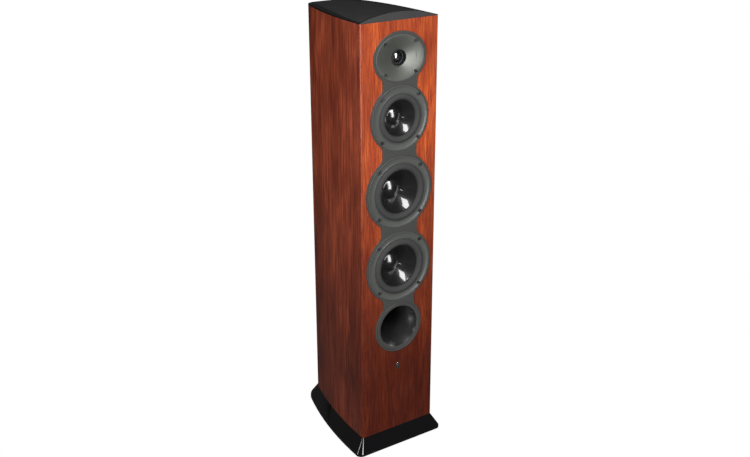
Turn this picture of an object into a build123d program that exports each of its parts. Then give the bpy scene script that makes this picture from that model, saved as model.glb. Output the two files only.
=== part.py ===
from build123d import *
from dataclasses import dataclass
from math import acos, asin, cos, degrees, radians, sin
import os

os.makedirs("parts", exist_ok=True)

# Floorstanding three-way speaker, millimetres, +Z up, front towards -Y.
# The origin is on the floor, under the middle of the plinth.

# ---- cabinet ----
CABINET_H = 1000.0
CABINET_HALF_W = 102.0
CABINET_D = 298.0
BACK_HALF_W = 30.0
SIDE_BOW = 9.3  # how far each side stands out from its own chord
REAR_CORNER_D = 25.0  # depth of the rounded rear corner
SIDE_END_DEPTH = CABINET_D - REAR_CORNER_D
SIDE_END_HALF_W = 63.0
EDGE_R = 2.5
BAFFLE_T = 25.0
PANEL_T = 19.0
BACK_T = PANEL_T  # cut from the same board as the sides

# ---- plinth and feet ----
FOOT_GAP = 6.0
PLINTH_H = 40.0
PLINTH_LIP = 6.0
FLARE_FRONT = 16.5
FLARE_SIDE = 21.0
FLARE_BACK = 30.0
PLINTH_EDGE_R = 13.0
PLINTH_CORNER = (14.5, 14.1)  # how far the plinth stands out past the cabinet's rear corner
PLINTH_REAR_GROW = 4.2  # how much wider its straight back is, each side
FOOT_PAD_R = 19.0
FOOT_PAD_H = 7.0
FOOT_PAD_CHAMFER = 1.5
FOOT_RECESS_R = 22.0
FOOT_RECESS_H = 8.0
STEM_R = 4.0
STEM_TOP_CLEAR = 4.0
COLLAR_R = 11.0
COLLAR_T = 4.0
SOCKET_R = 5.0
SOCKET_DEPTH = 4.0
THREAD_CLEAR = 0.05
FACE_CLEAR = 0.1
FOOT_INSET = 14.0  # from the cabinet's front corner to a front foot's axis
FRONT_FOOT_DEPTH = 22.0  # behind the baffle's front face
BACK_FOOT_IN = 30.0  # ahead of the cabinet's back
BACK_FOOT_INSET = 13.0  # from the rear corner to a rear foot's axis
BOLT_INSET = 40.0  # from the cabinet's front corner to a front bolt's axis
BOLT_BACK_INSET = 21.0
BOLT_IN_FRONT = 45.0  # behind the baffle
BOLT_IN_BACK = 54.0  # ahead of the back panel
BOLT_R = 4.0
BOLT_HEAD_R = 7.0
BOLT_HEAD_H = 6.0
BOLT_HEAD_FLOOR = 1.0
BOLT_HEAD_CLEAR = 1.0
BOLT_SUNK = 2.0  # how far the bolt heads sit inside the plinth's underside
BOLT_BITE = 14.0
HOLE_SPARE = 1.0  # how much deeper a blind hole is than its screw

# ---- top cap ----
CAP_EDGE_T = 1.5
CAP_CROWN = 15.0
CAP_BACK_CROWN = 0.4
CAP_FACET_DEPTH = 8.0

# ---- front fascia ----
FASCIA_T = 3.0
NECK_R = 16.0
FASCIA_EDGE = 0.8
FIT_GAP = 0.4  # fascia opening round a flange
HOLE_GAP = 0.8  # baffle hole round a basket

# ---- tweeter ----
TWEETER_H = 919.0
TWEETER_LOBE = (69.4, 58.0)
TWEETER_PLATE = (64.0, 52.0)
WAVEGUIDE_MOUTH = (60.0, 48.0)
WAVEGUIDE_THROAT_R = 17.0
WAVEGUIDE_DEPTH = 10.5
TWEETER_BOSS_R = 44.0
TWEETER_BOSS_T = 15.0
TWEETER_SCREWS = (40.0, 33.5)
DOME_R = 12.7
DOME_H = 4.6
DOME_T = 0.4
DOME_ROLL_W = 3.0
DOME_ROLL_H = 1.2
DOME_SET_BACK = 2.0  # how far the dome's rim lies behind the throat
LENS_RING_T = 1.4
LENS_DISC_R = 4.2
LENS_SPOKES = 3
LENS_GAP = 1.0
TWEETER_COIL_LEN = 7.0
TWEETER_WINDING = 3.0
TWEETER_MOTOR_R = 27.0
TWEETER_MOTOR_T = 22.0

# ---- port ----
PORT_H = 276.6
PORT_LOBE_R = 65.3
PORT_FLANGE_R = 61.0
PORT_MOUTH_R = 52.5
PORT_BORE_R = 34.0
PORT_WALL = 2.5
PORT_FLARE_DEPTH = 42.0
PORT_LENGTH = 185.0
PORT_TAIL_R = 44.0
PORT_TAIL_DEPTH = 25.0
FLARE_BELLY = (0.24, 0.62)  # how the front flare curves, as shares of its width and depth
TAIL_BELLY = (0.26, 0.36)

# ---- shared by the cone drivers ----
FLANGE_T = 3.2
RUBBER_T = 0.8
CONE_T = 1.2
FORMER_T = 0.4
WINDING_T = 0.6
COIL_GAP = 0.35
LIP_W = 2.5
BASKET_WALL = 3.0
BASKET_SKIRT = 12.0
BASKET_WINDOWS = 6
WINDOW_SHARE = 0.84  # of each sixth of the basket's wall
SEAT_MARGIN = 1.0  # basket beyond the top plate
COIL_MARGIN = 3.0  # basket's hole round the coil
LEDGE_T = 2.0
CONE_BULGE = 2.2
CAP_LEDGE = 1.0  # half width of the cone's shelf for the dust cap
RIM_MARGIN = 0.5
FORMER_OVERLAP = 1.0
MAGNET_HOLE = 8.0
SPIDER_T = 0.5
SPIDER_WAVE = 1.2
SPIDER_WAVES = 9
SCREW_R = 2.2
SCREW_CLEAR = 0.05
SCREW_HEAD_R = 3.8
SCREW_HEAD_H = 1.8
SCREW_SOCKET_FLOOR = 0.5
SCREW_SOCKET_R = 1.9
SCREW_BITE = 20.0

# ---- terminals ----
TERMINAL_H = 150.0
TERMINAL_PLATE = (46.0, 92.0, 3.0)
PLATE_CORNER_R = 5.0
PLATE_CHAMFER = 1.0
TERMINAL_PITCH = 38.0
STUD_R = 3.0
STUD_LENGTH = 24.0
STUD_INSIDE = 12.0
STUD_COLLAR_R = 6.5
STUD_COLLAR_T = 2.0
PLUG_BORE_R = 2.05
PLUG_BORE_DEPTH = 16.0
WASHER_R = 6.8
WASHER_T = 1.5
CAP_NUT_R = 8.0
CAP_NUT_LENGTH = 16.0
CAP_NUT_FLUTES = 12
FLUTE_R = 1.1
FLUTE_OUT = 0.4

# ---- inside ----
BRACE_RIM = 24.0
BOARD = (96.0, 130.0, 1.6)
BOARD_DEPTH = CABINET_D / 2
BOARD_LIFT = 6.0
BOARD_POST_R = 4.0
BOARD_POST_IN = 6.0
INDUCTOR = (19.0, 9.0, 18.0)  # outer radius, bore radius, height
INDUCTOR_PITCH = (52.0, 66.0)
CAPACITOR = (12.0, 26.0, 16.0)
CAPACITOR_PITCH = 30.0
BADGE_H = 169.0
BADGE_SIZE = (9.0, 17.0, 1.2)
BADGE_SOFT = 0.4

# ---- derived places ----
BASE_Z = FOOT_GAP + PLINTH_H
TOP_Z = BASE_Z + CABINET_H
FRONT_Y = -(FLARE_FRONT + CABINET_D + FLARE_BACK) / 2 + FLARE_FRONT
BACK_Y = FRONT_Y + CABINET_D
INSIDE_FRONT = FRONT_Y + BAFFLE_T
INSIDE_BACK = BACK_Y - BACK_T


@dataclass(frozen=True)
class Driver:
    """One cone driver. Depths run back from the baffle's front face."""

    name: str
    height: float  # axis above the cabinet's underside
    lobe_r: float  # fascia round it
    flange_r: float
    screw_r: float  # pitch radius of the four screws
    basket_r: float
    lip_r: float  # outer edge of the roll surround
    cone_r: float
    roll_h: float
    cap_r: float
    cap_h: float
    cap_depth: float
    neck_depth: float
    coil_r: float  # inside the former
    spider_r: float
    spider_depth: float
    seat_depth: float  # rear face of the basket
    plate_r: float
    plate_t: float
    magnet_r: float
    magnet_t: float
    winding: float


WOOFER = dict(
    lobe_r=89.5,
    flange_r=84.5,
    screw_r=79.0,
    basket_r=72.0,
    lip_r=66.0,
    cone_r=53.5,
    roll_h=4.8,
    cap_r=20.5,
    cap_h=7.0,
    cap_depth=27.0,
    neck_depth=31.0,
    coil_r=16.0,
    spider_r=44.0,
    spider_depth=39.0,
    seat_depth=56.0,
    plate_r=45.0,
    plate_t=6.0,
    magnet_r=50.0,
    magnet_t=18.0,
    winding=13.0,
)
MIDRANGE = dict(
    lobe_r=77.4,
    flange_r=73.8,
    screw_r=68.8,
    basket_r=60.0,
    lip_r=54.0,
    cone_r=43.5,
    roll_h=3.8,
    cap_r=16.5,
    cap_h=6.0,
    cap_depth=20.0,
    neck_depth=23.0,
    coil_r=12.5,
    spider_r=34.0,
    spider_depth=29.0,
    seat_depth=43.0,
    plate_r=36.0,
    plate_t=5.0,
    magnet_r=40.0,
    magnet_t=14.0,
    winding=9.0,
)
DRIVERS = (
    Driver(name="midrange", height=785.5, **MIDRANGE),
    Driver(name="woofer_1", height=614.2, **WOOFER),
    Driver(name="woofer_2", height=432.1, **WOOFER),
)


def between(upper, upper_r, lower, lower_r):
    """Underside of a panel midway between two round pieces on the front."""
    return (upper - upper_r + lower + lower_r - PANEL_T) / 2


MID, WOOFER_1, WOOFER_2 = DRIVERS
SHELF_H = between(MID.height, MID.basket_r, WOOFER_1.height, WOOFER_1.basket_r)
BRACE_HEIGHTS = (
    between(WOOFER_1.height, WOOFER_1.basket_r, WOOFER_2.height, WOOFER_2.basket_r),
    between(WOOFER_2.height, WOOFER_2.basket_r, PORT_H, PORT_TAIL_R + PORT_WALL),
)


def save(piece, name):
    """Label a finished piece and write it as one STEP file."""
    piece.label = name
    export_step(piece, f"parts/{name}.step")


def axial(height):
    """Plane through a driver's axis: local x runs out from the axis, local y out of the front."""
    return Plane(origin=(0, FRONT_Y, BASE_Z + height), x_dir=(1, 0, 0), z_dir=(0, 0, -1))


def facing(height, depth=0.0):
    """Plane square to a driver's axis at a depth: local x is +X, local y is +Z, normal to the front."""
    return Plane(origin=(0, FRONT_Y + depth, BASE_Z + height), x_dir=(1, 0, 0), z_dir=(0, -1, 0))


def axis_of(height):
    """Axis of a round piece on the front."""
    return Axis((0, FRONT_Y, BASE_Z + height), (0, -1, 0))


def mirrored(point):
    """The same place on the left side."""
    return (-point.X, point.Y)


def plan_outline(corner_r, grow_side=0.0, grow_front=0.0, grow_back=0.0, corner=(0.0, 0.0), rear_grow=0.0):
    """Plan of the cabinet, grown for the plinth: straight front, bowed sides, tight rear corners."""
    half = CABINET_HALF_W + grow_side
    front = FRONT_Y - grow_front
    back = BACK_Y + grow_back
    end = Vector(SIDE_END_HALF_W + corner[0], FRONT_Y + SIDE_END_DEPTH + corner[1])
    start = Vector(half, front)
    chord = end - start
    bow = SIDE_BOW * (chord.length / SIDE_END_DEPTH) ** 2
    out = Vector(chord.Y, -chord.X).normalized()
    middle = start + chord * 0.5 + out * bow
    rear = Vector(BACK_HALF_W + rear_grow, back)
    with BuildSketch() as plan:
        with BuildLine():
            Line(mirrored(start), start)
            right = ThreePointArc(start, middle, end)
            TangentArc(end, rear, tangent=right % 1)
            Line(rear, mirrored(rear))
            left = ThreePointArc(mirrored(start), mirrored(middle), mirrored(end))
            TangentArc(mirrored(end), mirrored(rear), tangent=left % 1)
        make_face()
        fillet(plan.vertices().group_by(Axis.Y)[0], corner_r)
    return plan.sketch


CABINET_PLAN = plan_outline(EDGE_R)
PLINTH_PLAN = plan_outline(
    PLINTH_EDGE_R, FLARE_SIDE, FLARE_FRONT, FLARE_BACK, PLINTH_CORNER, PLINTH_REAR_GROW
)

with BuildSketch() as inner:
    add(CABINET_PLAN)
    offset(amount=-PANEL_T, kind=Kind.INTERSECTION)
INNER_PLAN = inner.sketch


def band(front, back, half=CABINET_HALF_W * 2, side=0):
    """A plan rectangle between two depths, on both sides or on one side of the middle."""
    with BuildSketch() as strip:
        with Locations((side * half / 2, (front + back) / 2)):
            Rectangle(half if side else 2 * half, back - front)
    return strip.sketch


# ---------------------------------------------------------------- cabinet
with BuildPart() as front_baffle:
    with BuildSketch(Plane.XY.offset(BASE_Z)):
        add(CABINET_PLAN)
        add(band(FRONT_Y - EDGE_R, INSIDE_FRONT), mode=Mode.INTERSECT)
    extrude(amount=CABINET_H)
    for unit in DRIVERS:
        with BuildSketch(facing(unit.height)):
            Circle(unit.basket_r + HOLE_GAP)
        extrude(amount=-BAFFLE_T, mode=Mode.SUBTRACT)
        with BuildSketch(facing(unit.height)):
            with PolarLocations(unit.screw_r, 4, start_angle=45):
                Circle(SCREW_R + SCREW_CLEAR)
        extrude(amount=-SCREW_BITE - HOLE_SPARE, mode=Mode.SUBTRACT)
    with BuildSketch(facing(TWEETER_H)):
        Circle(TWEETER_BOSS_R + HOLE_GAP)
    extrude(amount=-BAFFLE_T, mode=Mode.SUBTRACT)
    with BuildSketch(facing(TWEETER_H)):
        with GridLocations(2 * TWEETER_SCREWS[0], 2 * TWEETER_SCREWS[1], 2, 2):
            Circle(SCREW_R + SCREW_CLEAR)
    extrude(amount=-SCREW_BITE - HOLE_SPARE, mode=Mode.SUBTRACT)
    with BuildSketch(facing(PORT_H)):
        Circle(PORT_MOUTH_R + PORT_WALL + HOLE_GAP)
    extrude(amount=-BAFFLE_T, mode=Mode.SUBTRACT)
save(front_baffle.part, "front_baffle")

for side, label in ((-1, "side_panel_left"), (1, "side_panel_right")):
    with BuildPart() as side_panel:
        with BuildSketch(Plane.XY.offset(BASE_Z)):
            add(CABINET_PLAN)
            add(INNER_PLAN, mode=Mode.SUBTRACT)
            add(band(INSIDE_FRONT, INSIDE_BACK, side=side), mode=Mode.INTERSECT)
        extrude(amount=CABINET_H)
    save(side_panel.part, label)

STUD_HEIGHTS = (TERMINAL_H - TERMINAL_PITCH / 2, TERMINAL_H + TERMINAL_PITCH / 2)
with BuildPart() as back_panel:
    with BuildSketch(Plane.XY.offset(BASE_Z)):
        add(CABINET_PLAN)
        add(band(INSIDE_BACK, BACK_Y + EDGE_R), mode=Mode.INTERSECT)
    extrude(amount=CABINET_H)
    for height in STUD_HEIGHTS:
        with BuildSketch(facing(height, CABINET_D)):
            Circle(STUD_R + HOLE_GAP)
        extrude(amount=BACK_T, mode=Mode.SUBTRACT)
save(back_panel.part, "back_panel")


def shelf(height, thickness, window=0.0):
    """A plate across the inside of the cabinet, with an optional window inside a rim."""
    with BuildPart() as plate:
        with BuildSketch(Plane.XY.offset(BASE_Z + height)):
            add(INNER_PLAN)
            add(band(INSIDE_FRONT, INSIDE_BACK), mode=Mode.INTERSECT)
            if window:
                add(shelf_window(window), mode=Mode.SUBTRACT)
        extrude(amount=thickness)
    return plate.part


def shelf_window(rim):
    """Opening of a brace: the inside plan less a rim all round."""
    with BuildSketch() as window:
        add(INNER_PLAN)
        offset(amount=-rim, kind=Kind.INTERSECTION)
        add(band(INSIDE_FRONT + rim, INSIDE_BACK - rim), mode=Mode.INTERSECT)
    return window.sketch


save(shelf(CABINET_H - PANEL_T, PANEL_T), "top_panel")
save(shelf(SHELF_H, PANEL_T), "chamber_shelf")
BRACES = [shelf(height, PANEL_T, BRACE_RIM) for height in BRACE_HEIGHTS]
save(Compound(children=BRACES), "shelf_braces")

BOLTS = [
    (side * half, y)
    for half, y in (
        (CABINET_HALF_W - BOLT_INSET, INSIDE_FRONT + BOLT_IN_FRONT),
        (SIDE_END_HALF_W - BOLT_BACK_INSET, INSIDE_BACK - BOLT_IN_BACK),
    )
    for side in (-1, 1)
]
with BuildPart() as bottom_panel:
    add(shelf(0, PANEL_T))
    with BuildSketch(Plane.XY.offset(BASE_Z)):
        with Locations(*BOLTS):
            Circle(BOLT_R + SCREW_CLEAR)
    extrude(amount=BOLT_BITE + HOLE_SPARE, mode=Mode.SUBTRACT)
save(bottom_panel.part, "bottom_panel")

# ---------------------------------------------------------------- top cap
with BuildPart() as top_cap:
    for depth, crown in ((0, CAP_CROWN), (CABINET_D, CAP_BACK_CROWN)):
        with BuildSketch(Plane(origin=(0, FRONT_Y + depth, TOP_Z), x_dir=(1, 0, 0), z_dir=(0, -1, 0))):
            with BuildLine():
                Polyline(
                    (-CABINET_HALF_W, CAP_EDGE_T),
                    (-CABINET_HALF_W, 0),
                    (CABINET_HALF_W, 0),
                    (CABINET_HALF_W, CAP_EDGE_T),
                )
                ThreePointArc(
                    (CABINET_HALF_W, CAP_EDGE_T),
                    (0, CAP_EDGE_T + crown),
                    (-CABINET_HALF_W, CAP_EDGE_T),
                )
            make_face()
    loft(ruled=True)
    with BuildSketch(Plane.XY.offset(TOP_Z)):
        add(CABINET_PLAN)
    extrude(amount=CAP_EDGE_T + CAP_CROWN, mode=Mode.INTERSECT)
    with BuildSketch(Plane(origin=(0, FRONT_Y, TOP_Z + CAP_EDGE_T), x_dir=(0, 1, 0), z_dir=(1, 0, 0))):
        Polygon((0, 0), (2 * CAP_FACET_DEPTH, 2 * CAP_CROWN), (-CAP_FACET_DEPTH, 2 * CAP_CROWN),
                (-CAP_FACET_DEPTH, 0), align=None)
    extrude(amount=CABINET_HALF_W + 1, both=True, mode=Mode.SUBTRACT)
save(top_cap.part, "top_cap")

# ---------------------------------------------------------------- plinth and feet
FEET = [
    (side * half, FRONT_Y + depth)
    for half, depth in (
        (CABINET_HALF_W - FOOT_INSET, FRONT_FOOT_DEPTH),
        (SIDE_END_HALF_W - BACK_FOOT_INSET, CABINET_D - BACK_FOOT_IN),
    )
    for side in (-1, 1)
]
RECESS_TOP = FOOT_GAP + FOOT_RECESS_H
STEM_TOP = BASE_Z - STEM_TOP_CLEAR
BOLT_SEAT = FOOT_GAP + BOLT_HEAD_H + BOLT_SUNK

with BuildPart() as plinth:
    with BuildSketch(Plane.XY.offset(FOOT_GAP)):
        add(PLINTH_PLAN)
    extrude(amount=PLINTH_LIP)
    with BuildSketch(Plane.XY.offset(FOOT_GAP + PLINTH_LIP)):
        add(PLINTH_PLAN)
    with BuildSketch(Plane.XY.offset(BASE_Z)):
        add(CABINET_PLAN)
    loft(ruled=True)
    for spots, radius, low, high in (
        (FEET, FOOT_RECESS_R, FOOT_GAP, RECESS_TOP),
        (FEET, STEM_R + THREAD_CLEAR, RECESS_TOP, STEM_TOP + HOLE_SPARE),
        (BOLTS, BOLT_HEAD_R + BOLT_HEAD_CLEAR, FOOT_GAP, BOLT_SEAT),
        (BOLTS, BOLT_R + SCREW_CLEAR, BOLT_SEAT, BASE_Z),
    ):
        with BuildSketch(Plane.XY.offset(low)):
            with Locations(*spots):
                Circle(radius)
        extrude(amount=high - low, mode=Mode.SUBTRACT)
save(plinth.part, "plinth")

with BuildPart() as plinth_bolts:
    with BuildSketch(Plane.XY.offset(BOLT_SEAT - BOLT_HEAD_H)):
        with Locations(*BOLTS):
            Circle(BOLT_HEAD_R)
            RegularPolygon(BOLT_R, 6, mode=Mode.SUBTRACT)
    extrude(amount=BOLT_HEAD_H - BOLT_HEAD_FLOOR)
    with BuildSketch(Plane.XY.offset(BOLT_SEAT - BOLT_HEAD_FLOOR)):
        with Locations(*BOLTS):
            Circle(BOLT_HEAD_R)
    extrude(amount=BOLT_HEAD_FLOOR)
    with BuildSketch(Plane.XY.offset(BOLT_SEAT)):
        with Locations(*BOLTS):
            Circle(BOLT_R)
    extrude(amount=BASE_Z + BOLT_BITE - BOLT_SEAT)
save(plinth_bolts.part, "plinth_bolts")

for number, (x, y) in enumerate(FEET, start=1):
    with BuildPart() as foot_pad:
        with BuildSketch(Plane.XY):
            with Locations((x, y)):
                Circle(FOOT_PAD_R)
        extrude(amount=FOOT_PAD_H)
        chamfer(foot_pad.edges().group_by(Axis.Z)[-1], FOOT_PAD_CHAMFER)
        with BuildSketch(Plane.XY.offset(FOOT_PAD_H - SOCKET_DEPTH)):
            with Locations((x, y)):
                Circle(SOCKET_R + THREAD_CLEAR)
        extrude(amount=SOCKET_DEPTH, mode=Mode.SUBTRACT)
    save(foot_pad.part, f"foot_pad_{number}")

    collar_z = FOOT_PAD_H + FACE_CLEAR
    with BuildPart() as foot_stem:
        with BuildSketch(Plane.XY.offset(FOOT_PAD_H - SOCKET_DEPTH + FACE_CLEAR)):
            with Locations((x, y)):
                Circle(SOCKET_R)
        extrude(amount=SOCKET_DEPTH)
        with BuildSketch(Plane.XY.offset(collar_z)):
            with Locations((x, y)):
                RegularPolygon(COLLAR_R, 6)
        extrude(amount=COLLAR_T)
        with BuildSketch(Plane.XY.offset(collar_z + COLLAR_T)):
            with Locations((x, y)):
                Circle(STEM_R)
        extrude(amount=STEM_TOP - collar_z - COLLAR_T)
    save(foot_stem.part, f"foot_stem_{number}")

# ---------------------------------------------------------------- front fascia
LOBES = [(TWEETER_H, TWEETER_LOBE[0])] + [(u.height, u.lobe_r) for u in DRIVERS] + [(PORT_H, PORT_LOBE_R)]
NECKS = (45.0, 45.5, 49.5, 43.8)

with BuildPart() as front_fascia:
    with BuildSketch(facing(0)) as face:
        with Locations((0, TWEETER_H)):
            Ellipse(*TWEETER_LOBE)
        for height, radius in LOBES[1:]:
            with Locations((0, height)):
                Circle(radius)
        for half, (upper, _), (lower, _) in zip(NECKS, LOBES, LOBES[1:]):
            with Locations((0, (upper + lower) / 2)):
                Rectangle(2 * half, upper - lower)
        fillet(face.vertices(), NECK_R)
        with Locations((0, TWEETER_H)):
            Ellipse(TWEETER_PLATE[0] + FIT_GAP, TWEETER_PLATE[1] + FIT_GAP, mode=Mode.SUBTRACT)
        for unit in DRIVERS:
            with Locations((0, unit.height)):
                Circle(unit.flange_r + FIT_GAP, mode=Mode.SUBTRACT)
        with Locations((0, PORT_H)):
            Circle(PORT_FLANGE_R + FIT_GAP, mode=Mode.SUBTRACT)
    extrude(amount=FASCIA_T)
save(front_fascia.part, "front_fascia")

with BuildPart() as badge:
    with BuildSketch(facing(BADGE_H)):
        Ellipse(BADGE_SIZE[0] / 2, BADGE_SIZE[1] / 2)
    extrude(amount=BADGE_SIZE[2])
    fillet(badge.edges().group_by(Axis.Y)[0], BADGE_SOFT)
save(badge.part, "badge")


# ---------------------------------------------------------------- cone drivers
def turned(height, *sections):
    """A round piece: its sections, revolved about a driver's axis."""
    with BuildPart() as piece:
        with BuildSketch(axial(height)):
            for section in sections:
                add(section)
        revolve(axis=axis_of(height))
    return piece.part


def block(inner_r, outer_r, near, far):
    """A ring's section: between two radii, from a near to a far depth."""
    with BuildSketch() as section:
        Polygon((inner_r, -near), (outer_r, -near), (outer_r, -far), (inner_r, -far), align=None)
    return section.sketch


def driver_frame(u):
    """Flange, slanted basket with windows, spider ledge and rear seat, with screw holes."""
    seat_r = u.plate_r + SEAT_MARGIN
    hole_r = u.coil_r + COIL_MARGIN
    slant = (u.basket_r - seat_r) / (u.seat_depth - BASKET_SKIRT)
    with BuildPart() as frame:
        with BuildSketch(axial(u.height)):
            Polygon(
                (u.lip_r, FLANGE_T),
                (u.flange_r - FASCIA_EDGE, FLANGE_T),
                (u.flange_r, FLANGE_T - FASCIA_EDGE),
                (u.flange_r, 0),
                (u.basket_r, 0),
                (u.basket_r, -BASKET_SKIRT),
                (seat_r, -u.seat_depth),
                (hole_r, -u.seat_depth),
                (hole_r, BASKET_WALL - u.seat_depth),
                (seat_r - BASKET_WALL, BASKET_WALL - u.seat_depth),
                (u.basket_r - BASKET_WALL, -BASKET_SKIRT),
                (u.lip_r, -BASKET_WALL),
                align=None,
            )
            ledge_r = u.basket_r - slant * (u.spider_depth - BASKET_SKIRT)
            add(block(u.spider_r - LIP_W, ledge_r, u.spider_depth, u.spider_depth + LEDGE_T))
        revolve(axis=axis_of(u.height))
        depth = u.seat_depth - BASKET_SKIRT - 2 * BASKET_WALL
        window_r = seat_r + SEAT_MARGIN
        with BuildSketch(facing(u.height, BASKET_SKIRT + SEAT_MARGIN)):
            with PolarLocations(window_r + u.basket_r / 2, BASKET_WINDOWS):
                Rectangle(u.basket_r, WINDOW_SHARE * window_r)
        extrude(amount=-depth, mode=Mode.SUBTRACT)
        with BuildSketch(facing(u.height)):
            with PolarLocations(u.screw_r, 4, start_angle=45):
                Circle(SCREW_R + SCREW_CLEAR)
        extrude(amount=FLANGE_T, mode=Mode.SUBTRACT)
    return frame.part


def surround(u):
    """Half-roll rubber ring from the cone's rim to the frame's lip."""
    top = FLANGE_T + RUBBER_T
    middle = (u.cone_r + u.lip_r) / 2

    with BuildSketch() as section:
        with BuildLine():
            Polyline(
                (u.cone_r + RUBBER_T, FLANGE_T),
                (u.cone_r - LIP_W, FLANGE_T),
                (u.cone_r - LIP_W, top),
                (u.cone_r, top),
            )
            ThreePointArc((u.cone_r, top), (middle, top + u.roll_h), (u.lip_r, top))
            Polyline(
                (u.lip_r, top),
                (u.lip_r + LIP_W, top),
                (u.lip_r + LIP_W, FLANGE_T),
                (u.lip_r - RUBBER_T, FLANGE_T),
            )
            ThreePointArc(
                (u.lip_r - RUBBER_T, FLANGE_T),
                (middle, top + u.roll_h - RUBBER_T),
                (u.cone_r + RUBBER_T, FLANGE_T),
            )
        make_face()

    return turned(u.height, section.sketch)


def cone(u):
    """Flared cone with a flat rim, a shelf for the dust cap and a neck on the former."""
    neck_r = u.coil_r + FORMER_T
    rim_r = u.cone_r - LIP_W - RIM_MARGIN
    seat = (u.cap_r + CAP_LEDGE, -u.cap_depth)
    belly = ((rim_r + seat[0]) / 2, (FLANGE_T + seat[1]) / 2 + CONE_BULGE)

    with BuildSketch() as section:
        with BuildLine():
            ThreePointArc((rim_r, FLANGE_T), belly, seat)
            Polyline(
                seat,
                (u.cap_r - CAP_LEDGE, -u.cap_depth),
                (neck_r, -u.neck_depth),
                (neck_r, -u.neck_depth - CONE_T),
                (u.cap_r - CAP_LEDGE, -u.cap_depth - CONE_T),
                (seat[0], seat[1] - CONE_T),
            )
            ThreePointArc(
                (seat[0], seat[1] - CONE_T),
                (belly[0], belly[1] - CONE_T),
                (rim_r, FLANGE_T - CONE_T),
            )
            Polyline(
                (rim_r, FLANGE_T - CONE_T),
                (u.cone_r, FLANGE_T - CONE_T),
                (u.cone_r, FLANGE_T),
                (rim_r, FLANGE_T),
            )
        make_face()

    return turned(u.height, section.sketch)


def dome_section(rim_r, rim, rise, thickness):
    """Half section of a thin spherical cap, its rim at rim_r and its centre on the axis."""
    outer_r = (rim_r**2 + rise**2) / (2 * rise)
    inner_r = outer_r - thickness
    centre = rim + rise - outer_r
    span = asin(rim_r / outer_r)
    inner_span = acos((rim - centre) / inner_r)
    with BuildSketch() as section:
        with BuildLine():
            outer = CenterArc((0, centre), outer_r, 90 - degrees(span), degrees(span))
            inner = CenterArc((0, centre), inner_r, 90 - degrees(inner_span), degrees(inner_span))
            Line(outer @ 1, inner @ 1)
            Line(outer @ 0, inner @ 0)
        make_face()
    return section.sketch


def dust_cap(u):
    """Thin domed cap that sits on the cone's shelf."""
    return turned(u.height, dome_section(u.cap_r, -u.cap_depth, u.cap_h, RUBBER_T))


def gap_depth(u):
    """Depth of the middle of the magnetic gap, where the winding sits at rest."""
    return u.seat_depth + u.plate_t / 2


def voice_coil(u):
    """Former with its winding in the middle of the magnetic gap."""
    outer = u.coil_r + FORMER_T
    top = gap_depth(u) - u.winding / 2
    end = gap_depth(u) + u.winding / 2
    former = block(u.coil_r, outer, u.neck_depth - FORMER_OVERLAP, end)
    return turned(u.height, former, block(outer, outer + WINDING_T, top, end))


def spider(u):
    """Corrugated suspension disc between the former and the frame's ledge."""
    start = u.coil_r + FORMER_T
    step = (u.spider_r - LIP_W - start) / SPIDER_WAVES
    crest = [
        (start + step * i, -u.spider_depth + SPIDER_T + SPIDER_WAVE * (i % 2))
        for i in range(SPIDER_WAVES + 1)
    ]
    crest[-1] = (crest[-1][0], -u.spider_depth + SPIDER_T)
    lower = [(r, a - SPIDER_T) for r, a in reversed(crest)]
    edge = [(u.spider_r, -u.spider_depth + SPIDER_T), (u.spider_r, -u.spider_depth)]
    with BuildSketch() as section:
        Polygon(*crest, *edge, *lower, align=None)
    return turned(u.height, section.sketch)


def magnet(u):
    """Ferrite ring between the top plate and the yoke."""
    near = u.seat_depth + u.plate_t
    return turned(u.height, block(u.coil_r + MAGNET_HOLE, u.magnet_r, near, near + u.magnet_t))


def pole_plates(u):
    """Top plate round the gap, and the yoke with its pole inside the voice coil."""
    gap_r = u.coil_r + FORMER_T + WINDING_T + COIL_GAP
    pole_r = u.coil_r - COIL_GAP
    near = u.seat_depth + u.plate_t + u.magnet_t
    top = turned(u.height, block(gap_r, u.plate_r, u.seat_depth, u.seat_depth + u.plate_t))
    back = block(0, u.plate_r, near, near + u.plate_t)
    yoke = turned(u.height, back, block(0, pole_r, u.seat_depth, near))
    return Compound(children=[top, yoke])


PIECES = {
    "frame": driver_frame,
    "surround": surround,
    "cone": cone,
    "dust_cap": dust_cap,
    "voice_coil": voice_coil,
    "spider": spider,
    "magnet": magnet,
    "pole_plates": pole_plates,
}
for unit in DRIVERS:
    for piece_name, make in PIECES.items():
        save(make(unit), f"{unit.name}_{piece_name}")

# ---------------------------------------------------------------- tweeter
THROAT = WAVEGUIDE_DEPTH - FLANGE_T  # depth of the throat behind the baffle's face

with BuildPart() as tweeter_faceplate:
    with BuildSketch(facing(TWEETER_H)):
        Ellipse(*TWEETER_PLATE)
    extrude(amount=FLANGE_T)
    with BuildSketch(facing(TWEETER_H)):
        Circle(TWEETER_BOSS_R)
    extrude(amount=-TWEETER_BOSS_T)
    with BuildSketch(facing(TWEETER_H, -FLANGE_T)):
        Ellipse(*WAVEGUIDE_MOUTH)
    with BuildSketch(facing(TWEETER_H, THROAT)):
        Circle(WAVEGUIDE_THROAT_R)
    loft(mode=Mode.SUBTRACT)
    with BuildSketch(facing(TWEETER_H, THROAT)):
        Circle(WAVEGUIDE_THROAT_R)
    extrude(amount=-TWEETER_BOSS_T, mode=Mode.SUBTRACT)
    with BuildSketch(facing(TWEETER_H)):
        with GridLocations(2 * TWEETER_SCREWS[0], 2 * TWEETER_SCREWS[1], 2, 2):
            Circle(SCREW_R + SCREW_CLEAR)
    extrude(amount=FLANGE_T, mode=Mode.SUBTRACT)
save(tweeter_faceplate.part, "tweeter_faceplate")

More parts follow.
